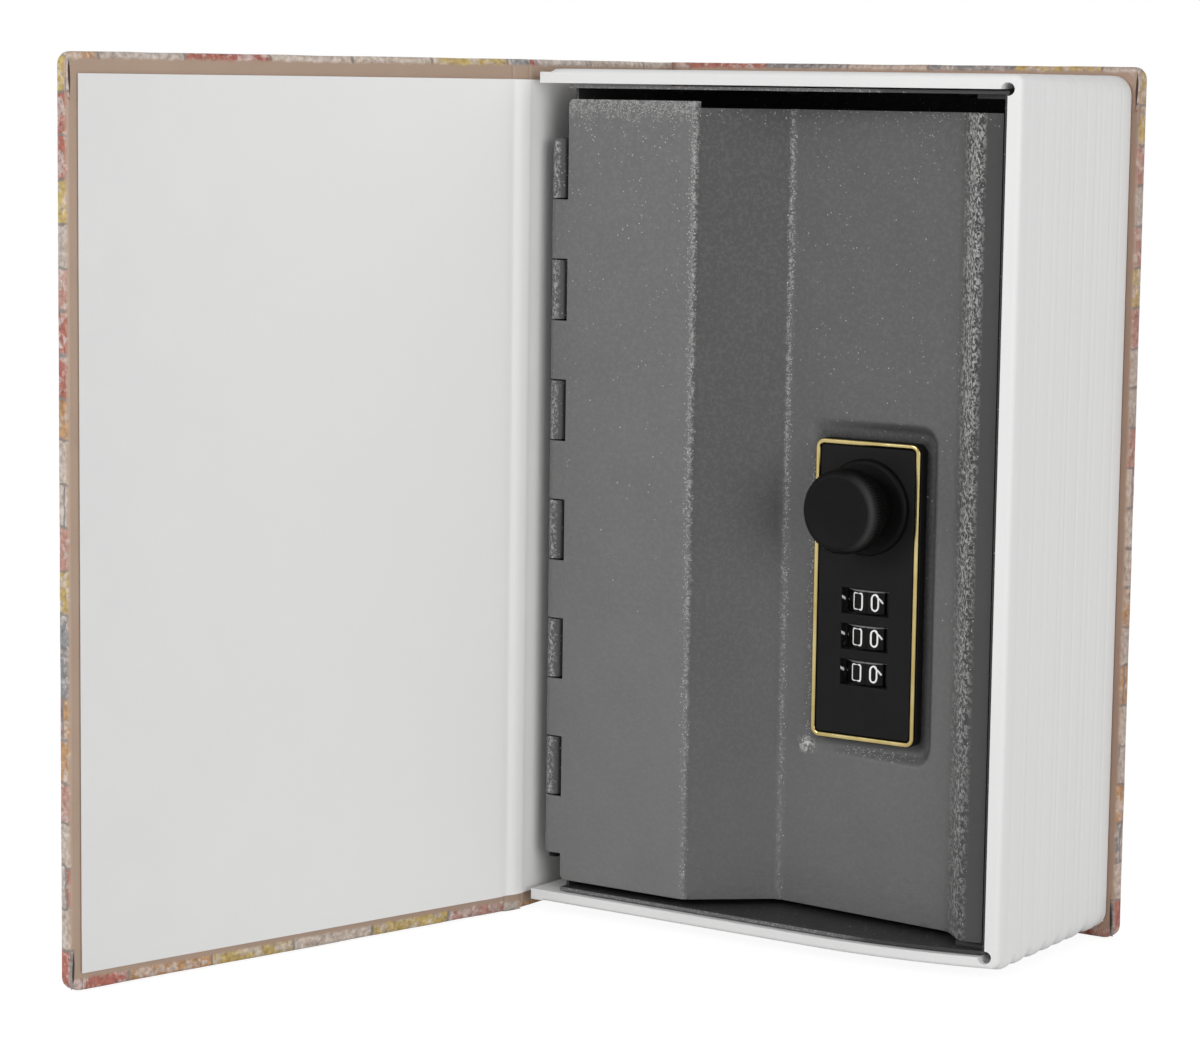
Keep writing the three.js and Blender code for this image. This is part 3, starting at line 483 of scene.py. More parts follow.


# painted highlights: bright flecks and lit wrinkles along the folds, the top edge and the seat's rim, thinly
# over the panels and more toward the top, and a cluster of bright specks at the seat's bottom-left corner;
# only the outer side gets them
def door_glint_flecks(recipe, x, _, z):
    panels = (slope(x, 39.6, 38.9) | slope(x, 54.2, 55.0)) * slope(x, 102.6, 101.8)
    patchy = slope(noisy(recipe.place, 130.0, 2.0), 0.46, 0.66, 0.05, 1.0)
    scattered = slope(z, 60.0, 172.0, 0.0, 0.08) * patchy * panels
    head = near(z, 171.8, 5.5, 1.0) * slope(x, 40.2, 39.6, 0.15, 1.0)
    seat_corner_specks = near(x, 60.9, 2.2, 1.4) * near(z, 40.8, 2.0, 1.4)
    seat_foot = slope(x, 67.0, 72.0) * slope(x, 87.0, 84.0) * near(z, 40.6, 1.2, 0.7)
    seat_side = slope(z, 40.0, 43.0) * slope(z, 104.0, 96.0) * near(x, 61.2, 1.0, 0.5)
    bends = near(x, 38.8, 1.3, 1.0) | near(x, 54.9, 1.1, 0.9) | near(x, 100.0, 3.9, 0.48)
    bends *= slope(z, 10.0, 165.0, 0.14, 1.0)
    creases = near(x, 39.1, 0.9, 0.6) | near(x, 54.7, 0.7, 0.55) | near(x, 100.0, 3.9, 2.0)
    creases *= slope(z, 0.0, 160.0, 0.3, 1.0)
    worms = near(z, 171.8, 5.0, 0.45) * slope(x, 40.2, 39.6, 0.1, 1.0)
    faint = slope(z, 0.0, 170.0, 0.02, 0.05) * slope(x, 102.6, 101.8)
    outer = recipe.attribute("outer")
    return ((scattered | head | seat_corner_specks | seat_foot | seat_side | bends) * outer,
            (creases | seat_corner_specks | worms | faint) * outer)


# painted shade and light: each panel is multiplied by its own shade (the recess most, the bend and lip by the
# frame's wall too), a painted shadow lies round the lock's seat, the recess is painted brighter toward the
# foot and dimmer toward the head, and the whole coat dims a little toward the head
def door_painted_shade(x, _, z):
    panels = grey_steps(x, 110.0, [(0.0, 1.0), (39.0, 1.0), (39.6, 0.47), (53.8, 0.55), (54.8, 0.76),
                                   (95.5, 0.78), (98.0, 0.6), (101.2, 0.5), (102.2, 0.31), (103.5, 0.31)])
    seat_shadow = slope(abs(x - 75.9) - 12.0 | abs(z - 74.2) - 30.7, -0.5, 2.7, 0.12, 1.0)
    recess = slope(x, 39.0, 39.6) * slope(x, 54.8, 54.2)
    gain = recess * 0.2 + slope(x, 39.0, 39.6, 0.06, 0.2)
    painted_light_from_below = slope(z, 10.0, 95.0, 1.0, 0.0) * gain + slope(z, 0.0, 172.0, 1.0, 0.88)
    head = 1.0 - recess * slope(z, 90.0, 170.0, 0.0, 0.09)
    return mixed(1.0, panels, seat_shadow * (painted_light_from_below * head), "MULTIPLY")


# painted highlights: bright flecks along the box's front edge and down each hinge knuckle, with lit wrinkles
# down the knuckles
def box_glint_flecks(_, x, y, z):
    flecks = slope(y, 1.9, 1.4, 0.0, 0.5) | near(x, 4.5, 0.8, 0.75)
    return flecks | slope(x, 7.6, 7.4, 0.03, 0.08), near(x, 4.9, 1.3, 0.9) * slope(y, 4.5, 3.0)


# painted shade: behind the front edge the box paint is multiplied down to 0.28, and each hinge knuckle is
# painted lighter and dims toward its right side; the front edge keeps the full colour as a painted highlight
def box_painted_shade(x, y, z):
    ends = slope(z, 163.9, 164.2) | slope(z, 12.4, 12.1)
    hinge = slope(x, 7.6, 7.4, 0.0, 0.66) * slope(x, 5.2, 6.8, 1.0, 0.35) * (1.0 - ends)
    return slope(slope(y, 1.9, 1.5) | hinge, 0.0, 1.0, 0.28, 1.0)


door_paint = powder("door powder coat", grey(98), grey(108), shade(190, 190, 188), 0.55,
                    door_glint_flecks, door_painted_shade)
box_paint = powder("box powder coat", shade(84, 84, 85), shade(100, 100, 101), grey(176), 0.5,
                   box_glint_flecks, box_painted_shade)
print("powder coats:", door_paint.material.name, box_paint.material.name)

# %% Lock blacks, brass, steel and zinc
WHEEL_TOP = span("number_wheel_3")[1].z
WHEEL_PITCH = 7.3
KNOB = (75.6, 91.2)


def plastic(name, color_of, roughness, grain=2200.0, gloss=0.5):
    recipe = Recipe(name, roughness, Specular_IOR_Level=gloss)
    skin = recipe.effect(moulded, Grain=grain)
    recipe.finish(color_of(recipe, skin["Tone"]), skin["Height"], 0.00004, 0.5)
    return recipe


def evenly(dark, light):
    return lambda _, tone: mixed(tone, dark, light)


# painted shade and highlight: the knob's colour dims the deeper it lies, and its rim is painted lighter on
# the right, where the light catches it
def knob_painted_light(recipe, tone):
    x, depth, z = recipe.axes()
    dx, dz = x - KNOB[0], z - KNOB[1]
    shade_by_depth = grey_steps(depth, 14.0, [(0.0, 0.0045), (2.0, 0.0045), (2.6, 0.003), (13.0, 0.0015)])
    rim = near(calc("SQRT", dx * dx + dz * dz), 7.9, 0.9, 1.0) * slope(dx, 1.5, 6.5, 0.0, 0.75)
    return mixed(rim * slope(depth, 3.4, 2.2), mixed(tone * 0.06, shade_by_depth, grey(60)), grey(64))


# painted highlight: a light band just under each wheel's top edge stands for the light the edge catches
def lit_brow(recipe, _):
    over_top = calc("FRACT", (recipe.axes()[2] - (WHEEL_TOP - 0.34)) / WHEEL_PITCH)
    return mixed(calc("LESS_THAN", over_top, 0.06), grey(10), grey(120))


def metal(name, dark, light, low, high, scale=400.0, side=None):
    recipe = Recipe(name, low, Metallic=1.0)
    marks = recipe.effect(scuffs, Scale=scale)
    color = mixed(marks["Scuff"], dark, light)
    # painted shade: behind its front the brass rim's sides are a dark brown
    if side:
        color = mixed(slope(recipe.axes()[1], 12.04, 12.22), color, side)
    recipe.finish(color, marks["Height"], 0.00002, 0.4, Roughness=marks["Scuff"] * (high - low) + low)
    return recipe


plate_black = plastic("lock plate black", evenly(grey(20), grey(26)), 0.5, gloss=0.12)
knob_black = plastic("knob black", knob_painted_light, 0.5, 3000.0, gloss=0.1)
wheel_black = plastic("number wheel black", lit_brow, 0.35, gloss=0.16)
digit_white = plastic("digit white", evenly(shade(228, 228, 226), shade(242, 242, 240)), 0.45)
slit_shadow = plastic("fold shadow brown", evenly(shade(60, 46, 38), shade(84, 66, 54)), 0.9)
brass = metal("polished brass", shade(186, 160, 92), shade(236, 220, 164), 0.12, 0.3, side=shade(66, 48, 24))
steel = metal("zinc-plated steel", shade(176, 178, 182), shade(206, 208, 210), 0.22, 0.42)
zinc = metal("cast zinc", shade(120, 122, 124), shade(146, 148, 150), 0.42, 0.6, 900.0)
print("materials:", len(bpy.data.materials))

# %% [markdown]
# ## From a bmesh to a piece
# Every new piece ends the same way: its mesh is stored, its hard edges are marked, and it is
# told which body it rides on. Where the solid of the model is already right but for its
# knife-sharp edges, a merged copy gets small rounded edges, which is how cast, moulded and sheared
# parts really catch the light.

# %% Helpers for pieces
slots = {part["node"]: part["material_slot"] for part in frame["record"]["subparts"]}


def new_piece(name, shape, recipe, body=None, hard=38):
    bmesh.ops.recalc_face_normals(shape, faces=shape.faces)
    mesh = bpy.data.meshes.new(name)
    shape.to_mesh(mesh)
    shape.free()
    mesh.shade_smooth()
    mesh.set_sharp_from_angle(angle=math.radians(hard))
    mesh.materials.append(recipe.material)
    piece = add_object(name, mesh)
    piece.modifiers.new("weighted normals", "WEIGHTED_NORMAL").keep_sharp = True
    if body:
        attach(piece, body)
    return piece


def sharp_edges(shape, angle):
    return [e for e in shape.edges if e.is_manifold and e.calc_face_angle(0) > math.radians(angle)]


def strung(shape, points):
    chain = [shape.verts.new(point) for point in points]
    return chain, [shape.edges.new(pair) for pair in zip(chain, chain[1:])]


def lay_print(shape, layer, place_of):
    for face in shape.faces:
        for loop in face.loops:
            loop[layer].uv = place_of(loop.vert)


def picked(made, kind):
    return [g for g in made["geom"] if isinstance(g, kind)]


def verts_of(made):
    return picked(made, bmesh.types.BMVert)


def slab(shape, points, step):
    ring = [shape.verts.new(point) for point in points]
    raised = verts_of(bmesh.ops.extrude_face_region(shape, geom=[shape.faces.new(ring)]))
    bmesh.ops.translate(shape, vec=step, verts=raised)
    return ring + raised


def turned(shape, geom, axis, steps):
    bmesh.ops.spin(shape, geom=geom, cent=(0, 0, 0), axis=axis, angle=math.tau, steps=steps, use_merge=True)


def rounded(shape, geom, offset, segments=2, clamp=False, affect="EDGES"):
    bmesh.ops.bevel(shape, geom=geom, offset=offset, offset_type="OFFSET", segments=segments, profile=0.5,
                    affect=affect, material=-1, clamp_overlap=clamp)


def softened(source, recipe, width, segments=2, angle=30, clamp=False):
    shape = bmesh.new()
    shape.from_mesh(nodes[source].data)
    bmesh.ops.remove_doubles(shape, verts=shape.verts, dist=0.002 * MM)
    bmesh.ops.dissolve_limit(shape, angle_limit=math.radians(1), verts=shape.verts, edges=shape.edges)
    rounded(shape, sharp_edges(shape, angle), width * MM, segments, clamp)
    piece = new_piece(source + "_soft", shape, recipe, nodes[source]["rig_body"])
    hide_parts(source)
    return piece


print("slots in the record:", len(set(slots.values())))

# %% [markdown]
# ## Cover boards
# Each board is greyboard wrapped in the printed paper. A cube is scaled to the board, its two
# far corners are rounded, then all its edges. The long edges are divided and drawn in by up to
# two tenths of a millimetre, because a hand-wrapped edge is never quite straight. The wrapper's
# pattern follows a UV map that runs on round each edge. An attribute holds how far a place lies
# inside the line where the print ends, so the tan turn-in begins there.

# %% A wrapped board
THICK = board_high.y - board_low.y
RING, PAPER, HINGE_GAP = 3.0, 0.25, 4.0
PRINTED, HINGE_DEPTH = -2.0, -0.5
OPEN = math.radians(103.8)
along = Vector((math.cos(OPEN), -math.sin(OPEN), 0))
inward = Vector((math.sin(OPEN), math.cos(OPEN), 0))


def on_cover(a, b, z):
    spot = along * a + inward * b
    return place(spot.x, spot.y + HINGE_DEPTH, z)


def on_front(a, b, z):
    return on_cover(a + HINGE_GAP, b - THICK - PAPER, z)


def on_back(a, b, z):
    return place(a + HINGE_GAP, board_high.y - b, z)


def wrapped_board(name, node_name, size, lay, print_start, direction, far_round, print_over):
    width, thick, tall = size
    shape = bmesh.new()
    bmesh.ops.create_cube(shape, size=1)
    bmesh.ops.translate(shape, vec=(0.5, 0.5, 0.5), verts=shape.verts)
    bmesh.ops.scale(shape, vec=size, verts=shape.verts)
    corners = [e for e in shape.edges if abs(e.verts[0].co.y - e.verts[1].co.y) > thick * 0.5
               and e.verts[0].co.x > width * 0.5]
    if far_round:
        rounded(shape, corners, far_round, 6)
    rounded(shape, sharp_edges(shape, 40), 0.8, 4)
    for cut, across in (((0, 0, RING), (0, 0, 1)), ((0, 0, tall - RING), (0, 0, 1)),
                        ((width - RING, 0, 0), (1, 0, 0))):
        bmesh.ops.bisect_plane(shape, geom=shape.verts[:] + shape.edges[:] + shape.faces[:], dist=1e-5,
                               plane_co=cut, plane_no=across)
    long_edges = [e for e in shape.edges if e.calc_length() > 20]
    bmesh.ops.subdivide_edges(shape, edges=long_edges, cuts=36, use_grid_fill=False)
    turn_in = shape.verts.layers.float.new("turn_in")
    map_layer = shape.loops.layers.uv.new("print")
    over_head, over_foot, over_far = print_over
    flat = {}
    for vert in shape.verts:
        a, b, z = vert.co
        wobble = noise.noise(Vector((a, b, z)) * 0.11) * 0.09 - 0.09
        inner = b > thick - 0.5
        past = min(tall - z - over_head, z - over_foot, width - a - over_far)
        vert[turn_in] = past if inner else min(past, b - thick)
        run_on, rise_on = a, z
        if inner and a > width - RING - 0.1:
            run_on = 2 * width + thick - a
        elif a > width - 1:
            run_on = a + b
        if inner and z > tall - RING - 0.1:
            rise_on = 2 * tall + thick - z
        elif inner and z < RING + 0.1:
            rise_on = -thick - z
        elif z > tall - 1 or z < 1:
            rise_on = z + math.copysign(b, z - 1)
        flat[vert] = ((print_start + direction * run_on) * MM, rise_on * MM)
        side = 1 if z > tall - 1 else -1 if z < 1 else 0
        far = 1 if a > width - 1 else 0
        vert.co = lay(a + far * wobble, b, min(max(z + side * wobble, 0.0), tall))
    lay_print(shape, map_layer, flat.get)
    piece = new_piece(name, shape, printed, nodes[node_name]["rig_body"])
    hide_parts(node_name)
    return piece


cover_width = board_high.x - HINGE_GAP
cover_height = board_high.z
cover_size = (cover_width, THICK, cover_height)
front_case = wrapped_board("front_case", "front_board", cover_size, on_front, 31.0, 1, 2.6, (1.25, 2.4, 0.15))
back_case = wrapped_board("back_case", "back_board", cover_size, on_back, -107.0, -1, 2.6, (1.0, 2.2, 0.3))
spine_low, spine_high = span("spine_board")
spine_case = wrapped_board(
    "spine_case", "spine_board", (spine_high.y - spine_low.y, spine_high.x - spine_low.x, cover_height),
    lambda a, b, z: place(spine_low.x + b, spine_low.y + a, z), -5.0, -1, 0, (1.2, 1.2, 0.0))
print("case boards:", [p.name for p in (front_case, back_case, spine_case)])

# %% [markdown]
# At each outer corner the wrapper is mitred. Two turn-ins meet there and leave a small fold with
# a dark slit beside it. The fold is a thin leaf of the printed paper; the slit's shade is painted
# as a dark brown sliver laid against it, a dark piece that stands for shadow.

# %% Corner folds
SLIT = [(0.75, 1.3), (0.45, 3.2), (0.55, 5.4), (0.95, 8.6), (1.12, 5.4), (1.02, 3.0)]
FOLD = [(0.75, 0.9), (0.3, 0.7), (0.2, 4.0), (0.3, 8.0), (0.9, 9.3), (0.52, 5.4), (0.42, 3.2)]


def corner_fold(name, lay, body, width, edge, toward):
    slit, fold = bmesh.new(), bmesh.new()
    for shape, points, low, high in ((slit, SLIT, -0.02, 0.05), (fold, FOLD, -0.05, 0.22)):
        leaf = [(width - a, THICK + low, edge + toward * z) for a, z in points]
        for vert in slab(shape, leaf, (0, high - low, 0)):
            vert.co = lay(*vert.co)
    map_layer = fold.loops.layers.uv.new("print")
    lay_print(fold, map_layer, lambda vert: ((width + THICK) * MM, vert.co.z))
    past = fold.verts.layers.float.new("turn_in")
    for vert in fold.verts:
        vert[past] = PRINTED
    # painted shadow: the slit is a dark brown sliver laid on the paper
    new_piece(name + "_slit_shadow", slit, slit_shadow, body)
    new_piece(name + "_fold", fold, printed, body)


for name, lay, body in (("front", on_front, "front_cover"), ("back", on_back, "safe")):
    corner_fold(name + "_head", lay, body, cover_width, cover_height, -1)
    corner_fold(name + "_foot", lay, body, cover_width, 0.0, 1)
print("corner folds: 4")

# %% [markdown]
# ## Paper and cloth across the joints
# The endpaper is one sheet from the front cover over the joint into the gutter, and the wrapper
# outside it is one sheet too. Both are drawn as a line in plan, extruded up and given their
# thickness. The front joint is a hinge of the model.

# %% A sheet from a line in plan
SHEET_ROWS = 30


def sheet(name, line, bottom, top, recipe, uneven, start=0.0, printed_outside=False):
    shape = bmesh.new()
    map_layer = shape.loops.layers.uv.new("print")
    run = shape.verts.layers.float.new("run")
    chain, edges = strung(shape, line)
    for before, after in zip(chain, chain[1:]):
        after[run] = before[run] + (after.co - before.co).length
    for _ in range(SHEET_ROWS):
        made = bmesh.ops.extrude_edge_only(shape, edges=edges)
        verts = verts_of(made)
        bmesh.ops.translate(shape, vec=(0, 0, (top - bottom) / SHEET_ROWS * MM), verts=verts)
        edges = [e for e in picked(made, bmesh.types.BMEdge)
                 if all(v in verts for v in e.verts) and abs(e.verts[0].co.z - e.verts[1].co.z) < 1e-9]
    bmesh.ops.translate(shape, vec=(0, 0, (bottom - line[0].z / MM) * MM), verts=shape.verts)
    for vert in shape.verts:
        if vert.co.z > (top - 0.1) * MM or vert.co.z < (bottom + 0.1) * MM:
            vert.co.z += noise.noise(vert.co * 160) * uneven * MM
    lay_print(shape, map_layer, lambda vert: (start * MM - vert[run], vert.co.z))
    past = shape.verts.layers.float.new("turn_in")
    for vert in shape.verts:
        height = vert.co.z / MM
        vert[past] = min(top - 1.2 - height, height - bottom - 1.8)
    first_side = set(shape.verts)
    bmesh.ops.solidify(shape, geom=shape.faces, thickness=PAPER * MM)
    if printed_outside:
        for vert in first_side:
            vert[past] = PRINTED
    return new_piece(name, shape, recipe)


def in_plan(lay, points):
    return [lay(a, b, 0) for a, b in points]


hinge_side = [(110.6, 0), (90, 0), (60, 0), (30, 0), (14, 0), (8, 0), (6, -0.02), (5, -0.1), (4.3, -0.2),
              (3.7, -0.12), (3.0, 0.06), (2.2, 0.16), (1.4, 0.14), (0.6, 0.04)]
gutter_side = [(-0.02, -0.5), (-0.1, -0.05), (-0.18, 0.5), (-0.22, 1.2), (-0.25, 2.5), (-0.25, 8),
               (-0.25, 20), (-0.25, 36), (-0.25, 52.6)]
leaf_line = in_plan(on_cover, hinge_side) + in_plan(place, gutter_side)
paper_low, paper_high = span("front_endpaper")
endleaf = sheet("endleaf", leaf_line, paper_low.z, paper_high.z, white_paper, 0.12)
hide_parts("front_endpaper", "spine_lining")
on_cover(5.0, 0, 90)
place(0, 0.6, 90)
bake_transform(endleaf)
print("endleaf", len(endleaf.data.vertices), "vertices")

# %% Wrapper over the two joints
front_groove = in_plan(on_cover, [(4.6, -1.9), (4.25, -1.2), (3.9, -0.78), (3.3, -0.64), (2.4, -0.6),
                                  (1.4, -0.6), (0.6, -0.62)])
front_groove += in_plan(place, [(-0.66, -0.32), (-0.78, 0.1), (-1.1, 0.5), (-1.6, 0.8)])
front_joint = sheet("front_joint_wrap", front_groove, 0.05, cover_height - 0.05, printed,
                    0.1, 4.6, True)
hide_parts("front_joint_cloth")
on_cover(3.8, 0, 90)
place(0, 0.2, 90)
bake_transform(front_joint)
back_groove = in_plan(place, [(-1.6, 55.6), (-1.1, 54.9), (-0.75, 54.25), (-0.3, 53.98), (0.6, 53.9),
                              (1.8, 53.88), (3.0, 53.9), (3.7, 54.0), (4.2, 54.4), (4.6, 54.9)])
back_joint = sheet("back_joint_wrap", back_groove, 0.05, cover_height - 0.05, printed,
                   0.1, -60.0, True)
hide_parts("back_joint_cloth")
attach(back_joint, "safe")
print("joint wraps:", front_joint.name, back_joint.name)

# %% [markdown]
# ## Page frame
# The frame is one moulding in the shape of a U lying on its side. It is swept from front to
# back: a strip of faces between the outer and the inner outline is extruded layer by layer, and
# every layer then takes its place. The outer outline dips into soft, uneven grooves like the
# edges of gathered pages, its corners grow rounder towards the back, and the front follows the
# hollow curve of the fore-edge. The inner corners keep the round reliefs of the moulding.

# %% Outline of the page frame
LOW, HIGH = frame_low.z, frame_high.z
FAR = frame_high.x
INNER_LOW, INNER_HIGH, INNER_FAR = 4.9, 175.05, 108.55
TONGUE, RELIEF, STEP = frame_low.x, 1.3, 0.7
TONGUE_XS = [TONGUE, TONGUE + 2.4, TONGUE + 3.4]
CURVE_START, CURVE_RADIUS = 72, 120
ARC, RUN_IN = 14, 3
CORNER_X, CORNER_LOW, CORNER_HIGH = 107.1, 7.0, 173.0
ACROSS = [8 + 6 * i for i in range(11)] + [72 + 2.9 * i for i in range(13)]
UPWARD = [8 + 9.1 * i for i in range(19)]


def corner(far, radius, low):
    points = [(CORNER_X + (far - radius - CORNER_X) * i / RUN_IN, 0.0) for i in range(RUN_IN)]
    bend = ARC - 2 * RUN_IN
    for i in range(bend + 1):
        angle = math.pi / 2 * i / bend
        points.append((far - radius + radius * math.sin(angle), radius - radius * math.cos(angle)))
    return points + [(far, radius + (low - radius) * (i + 1) / RUN_IN) for i in range(RUN_IN)]


def outline(lip, radius, foot=0.0, head=0.0, side=0.0):
    low, high, far = LOW + foot + lip, HIGH - head - lip, FAR - side - lip
    points = [(x, LOW + STEP) for x in TONGUE_XS[:2]]
    points += [(x, low) for x in TONGUE_XS[2:] + ACROSS]
    points += [(x, low + rise) for x, rise in corner(far, radius, CORNER_LOW - low)]
    points += [(far, z) for z in UPWARD]
    points += [(x, high - rise) for x, rise in reversed(corner(far, radius, high - CORNER_HIGH))]
    points += [(x, high) for x in reversed(TONGUE_XS[2:] + ACROSS)]
    return points + [(x, HIGH - STEP) for x in reversed(TONGUE_XS[:2])]


def relief(z, first):
    angles = [first + 1.5 * math.pi * i / ARC for i in range(ARC + 1)]
    return [(INNER_FAR + RELIEF * math.cos(a), z + RELIEF * math.sin(a)) for a in angles]


def inner_outline():
    xs = TONGUE_XS + ACROSS
    points = [(x, INNER_LOW) for x in xs] + relief(INNER_LOW, math.pi) + [(INNER_FAR, z) for z in UPWARD]
    return points + relief(INNER_HIGH, -math.pi / 2) + [(x, INNER_HIGH) for x in reversed(xs)]


print("stations round the frame:", len(inner_outline()), len(outline(0, 2)))

# %% Sweep the frame from front to back
DEPTH = frame_high.y
LIP = 1.1
steps = [0.0, 0.06, 0.18, 0.34, 0.56, 0.82] + [LIP + 0.5 * i for i in range(104)] + [DEPTH]
side_grooves = [(y, 0.05 + 0.07 * abs(noise.noise(Vector((y, 3.3, 0))))) for y in
                (4.2, 8.9, 11.1, 16.4, 19.2, 23.9, 26.0, 31.5, 36.2, 38.8, 44.0, 48.6)]


def side_depth(y):
    return sum(deep * math.exp(-((y - middle) / 0.5) ** 2) for middle, deep in side_grooves)


def gathered(y, period, depth):
    turn = (y / period + 0.35 * noise.noise(Vector((y * 0.09, 7.7, 1.0)))) % 1.0
    fading = min(1.0, max(0.0, (DEPTH - y) / 5))
    return depth * fading * (1 - math.sin(math.pi * turn)) ** 1.5


def lip_inset(y):
    return LIP - math.sqrt(max(LIP ** 2 - (LIP - y) ** 2, 0.0)) if y < LIP else 0.0


def front_curve(x):
    return 0.0 if x < CURVE_START else CURVE_RADIUS - math.sqrt(CURVE_RADIUS ** 2 - (x - CURVE_START) ** 2)


shape = bmesh.new()
order = shape.verts.layers.int.new("order")
rings = []
for points in (outline(LIP, 1.6), inner_outline()):
    chain, edges = strung(shape, [(x, 0, z) for x, z in points])
    rings.append(edges)
    for i, vert in enumerate(chain):
        vert[order] = i + len(rings) * 1000
bmesh.ops.bridge_loops(shape, edges=rings[0] + rings[1])
moving = list(shape.faces)
for _ in steps[1:]:
    made = bmesh.ops.extrude_face_region(shape, geom=moving)
    moving = picked(made, bmesh.types.BMFace)
    bmesh.ops.translate(shape, vec=(0, 1, 0), verts=verts_of(made))
inner_points = inner_outline()
layers = [outline(lip_inset(y), 1.6 + 2.4 * y / DEPTH, gathered(y - 1, 7.1, 1.25),
                  gathered(y - 1, 8.4, 0.12), side_depth(y)) for y in steps]
for vert in shape.verts:
    step = round(vert.co.y)
    kind, index = divmod(vert[order], 1000)
    x, z = layers[step][index] if kind == 1 else inner_points[index]
    y = front_curve(x) + steps[step] * (DEPTH - front_curve(x)) / DEPTH
    vert.co = place(x, y, z)
bmesh.ops.recalc_face_normals(shape, faces=shape.faces)
page_frame = new_piece("page_frame_moulding", shape, page_plastic, "safe", hard=60)
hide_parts("page_frame")
print("page frame", len(page_frame.data.polygons), "faces")

# %% [markdown]
# ## Door
# The door is one folded sheet with a shallow seat pressed for the lock. A grid of faces is laid
# along the folded line, dense where the seat's rim is, and the seat is pressed into it: a vertex
# inside the rim goes back to the seat's floor, one near the rim only part of the way. The sheet
# is then given its thickness, and an attribute marks its outer side, which alone gets the bright
# flecks of painted glints along its folds. Rolled tabs on the hinge side close round the pin.

# %% The folded line
SHEET = 0.7
door_low, door_high = span("door_panel")
DOOR_LEFT, DOOR_RIGHT = 8.0, door_high.x
DOOR_BOTTOM, DOOR_TOP = door_low.z, door_high.z
CREASE = 39.2
folds = [(DOOR_LEFT, 2.5), (CREASE, 2.5), (54.4, 15.4), (96.8, 12.0), (102.2, 6.6), (DOOR_RIGHT, 7.3)]


def eased(points, reach, pieces):
    line = [Vector(points[0])]
    for before, fold, after in zip(points, points[1:], points[2:]):
        before, fold, after = Vector(before), Vector(fold), Vector(after)
        start = fold + (before - fold).normalized() * reach
        end = fold + (after - fold).normalized() * reach
        for i in range(pieces + 1):
            t = i / pieces
            line.append(start * (1 - t) ** 2 + fold * 2 * t * (1 - t) + end * t ** 2)
    return line + [Vector(points[-1])]


def between(values, most):
    dense = []
    for low, high in zip(values, values[1:]):
        parts = max(1, math.ceil((high - low) / most))
        dense += [low + (high - low) * i / parts for i in range(parts)]
    return dense + [values[-1]]


fold_line = eased(folds, 1.8, 8)


def face_depth(x):
    for before, after in zip(fold_line, fold_line[1:]):
        if before.x - 1e-6 <= x <= after.x + 1e-6:
            share = (x - before.x) / max(after.x - before.x, 1e-9)
            return before.y + (after.y - before.y) * share
    return fold_line[-1].y


plate_low, plate_high = span("lock_plate")
SEAT = (plate_low.x - 3.2, plate_high.x + 3.2, plate_low.z - 3.2, plate_high.z + 3.2)
SEAT_DEPTH, SEAT_RADIUS = 15.2, 3.5
rim_steps = [-1.4, -1.0, -0.7, -0.4, -0.1, 0.2, 0.5, 0.8, 1.2, 1.7, 2.3, 3.0, 3.8]
columns = sorted(set([round(v.x, 4) for v in fold_line] + [round(SEAT[0] + s, 4) for s in rim_steps]
                     + [round(SEAT[1] - s, 4) for s in rim_steps] + [round(CREASE + 0.9, 4)]))
columns = between([c for c, d in zip(columns, columns[1:]) if d - c > 0.05] + [columns[-1]], 4.0)
PIN, TAB_RADIUS, KNUCKLE, TAB_GAP, HEAD_DROP = (5.2, 4.5), 2.0, 12.6, 0.15, 1.35
knuckle_rows = [KNUCKLE * (i + 1) + shift for i in range(12) for shift in (TAB_GAP, KNUCKLE - TAB_GAP)]
rows = sorted([SEAT[2] + s for s in rim_steps] + [SEAT[3] - s for s in rim_steps] + knuckle_rows
              + [DOOR_BOTTOM, DOOR_BOTTOM + 1.2, DOOR_TOP - HEAD_DROP, DOOR_TOP])
rows = between(rows, 6.0)
print("door grid", len(columns), "by", len(rows))

# %% Press the seat and fold the sheet
TAB_STEPS = 25


def into_seat(x, z):
    middle_x, middle_z = (SEAT[0] + SEAT[1]) / 2, (SEAT[2] + SEAT[3]) / 2
    dx = abs(x - middle_x) - (SEAT[1] - SEAT[0]) / 2 + SEAT_RADIUS
    dz = abs(z - middle_z) - (SEAT[3] - SEAT[2]) / 2 + SEAT_RADIUS
    outside = math.hypot(max(dx, 0), max(dz, 0)) + min(max(dx, dz), 0) - SEAT_RADIUS
    share = min(max((0.8 - outside) / 2.3, 0), 1)
    return share * share * (3 - 2 * share)


tab_angles = [math.radians(-360 + 270 * i / (TAB_STEPS - 1)) for i in range(TAB_STEPS)]
path = [(PIN[0] + TAB_RADIUS * math.cos(a), PIN[1] + TAB_RADIUS * math.sin(a)) for a in tab_angles]
path += [(x, face_depth(x)) for x in columns]
shape = bmesh.new()
bmesh.ops.create_grid(shape, x_segments=len(path) - 1, y_segments=len(rows) - 1, size=0.5)
unwanted = []
for vert in shape.verts:
    vert.co = (round((vert.co.x + 0.5) * (len(path) - 1)), round((vert.co.y + 0.5) * (len(rows) - 1)), 0)
for face in shape.faces:
    middle = face.calc_center_median()
    z = (rows[math.floor(middle.y)] + rows[math.ceil(middle.y)]) / 2
    turn, share = divmod(z - KNUCKLE, KNUCKLE)
    in_tab = turn % 2 == 0 and 0 <= turn <= 10 and TAB_GAP < share < KNUCKLE - TAB_GAP
    beyond_head = path[math.floor(middle.x)][0] > CREASE + 0.85 and z > DOOR_TOP - HEAD_DROP
    if (middle.x < TAB_STEPS and not in_tab) or (middle.x > TAB_STEPS and beyond_head):
        unwanted.append(face)
bmesh.ops.delete(shape, geom=unwanted, context="FACES")
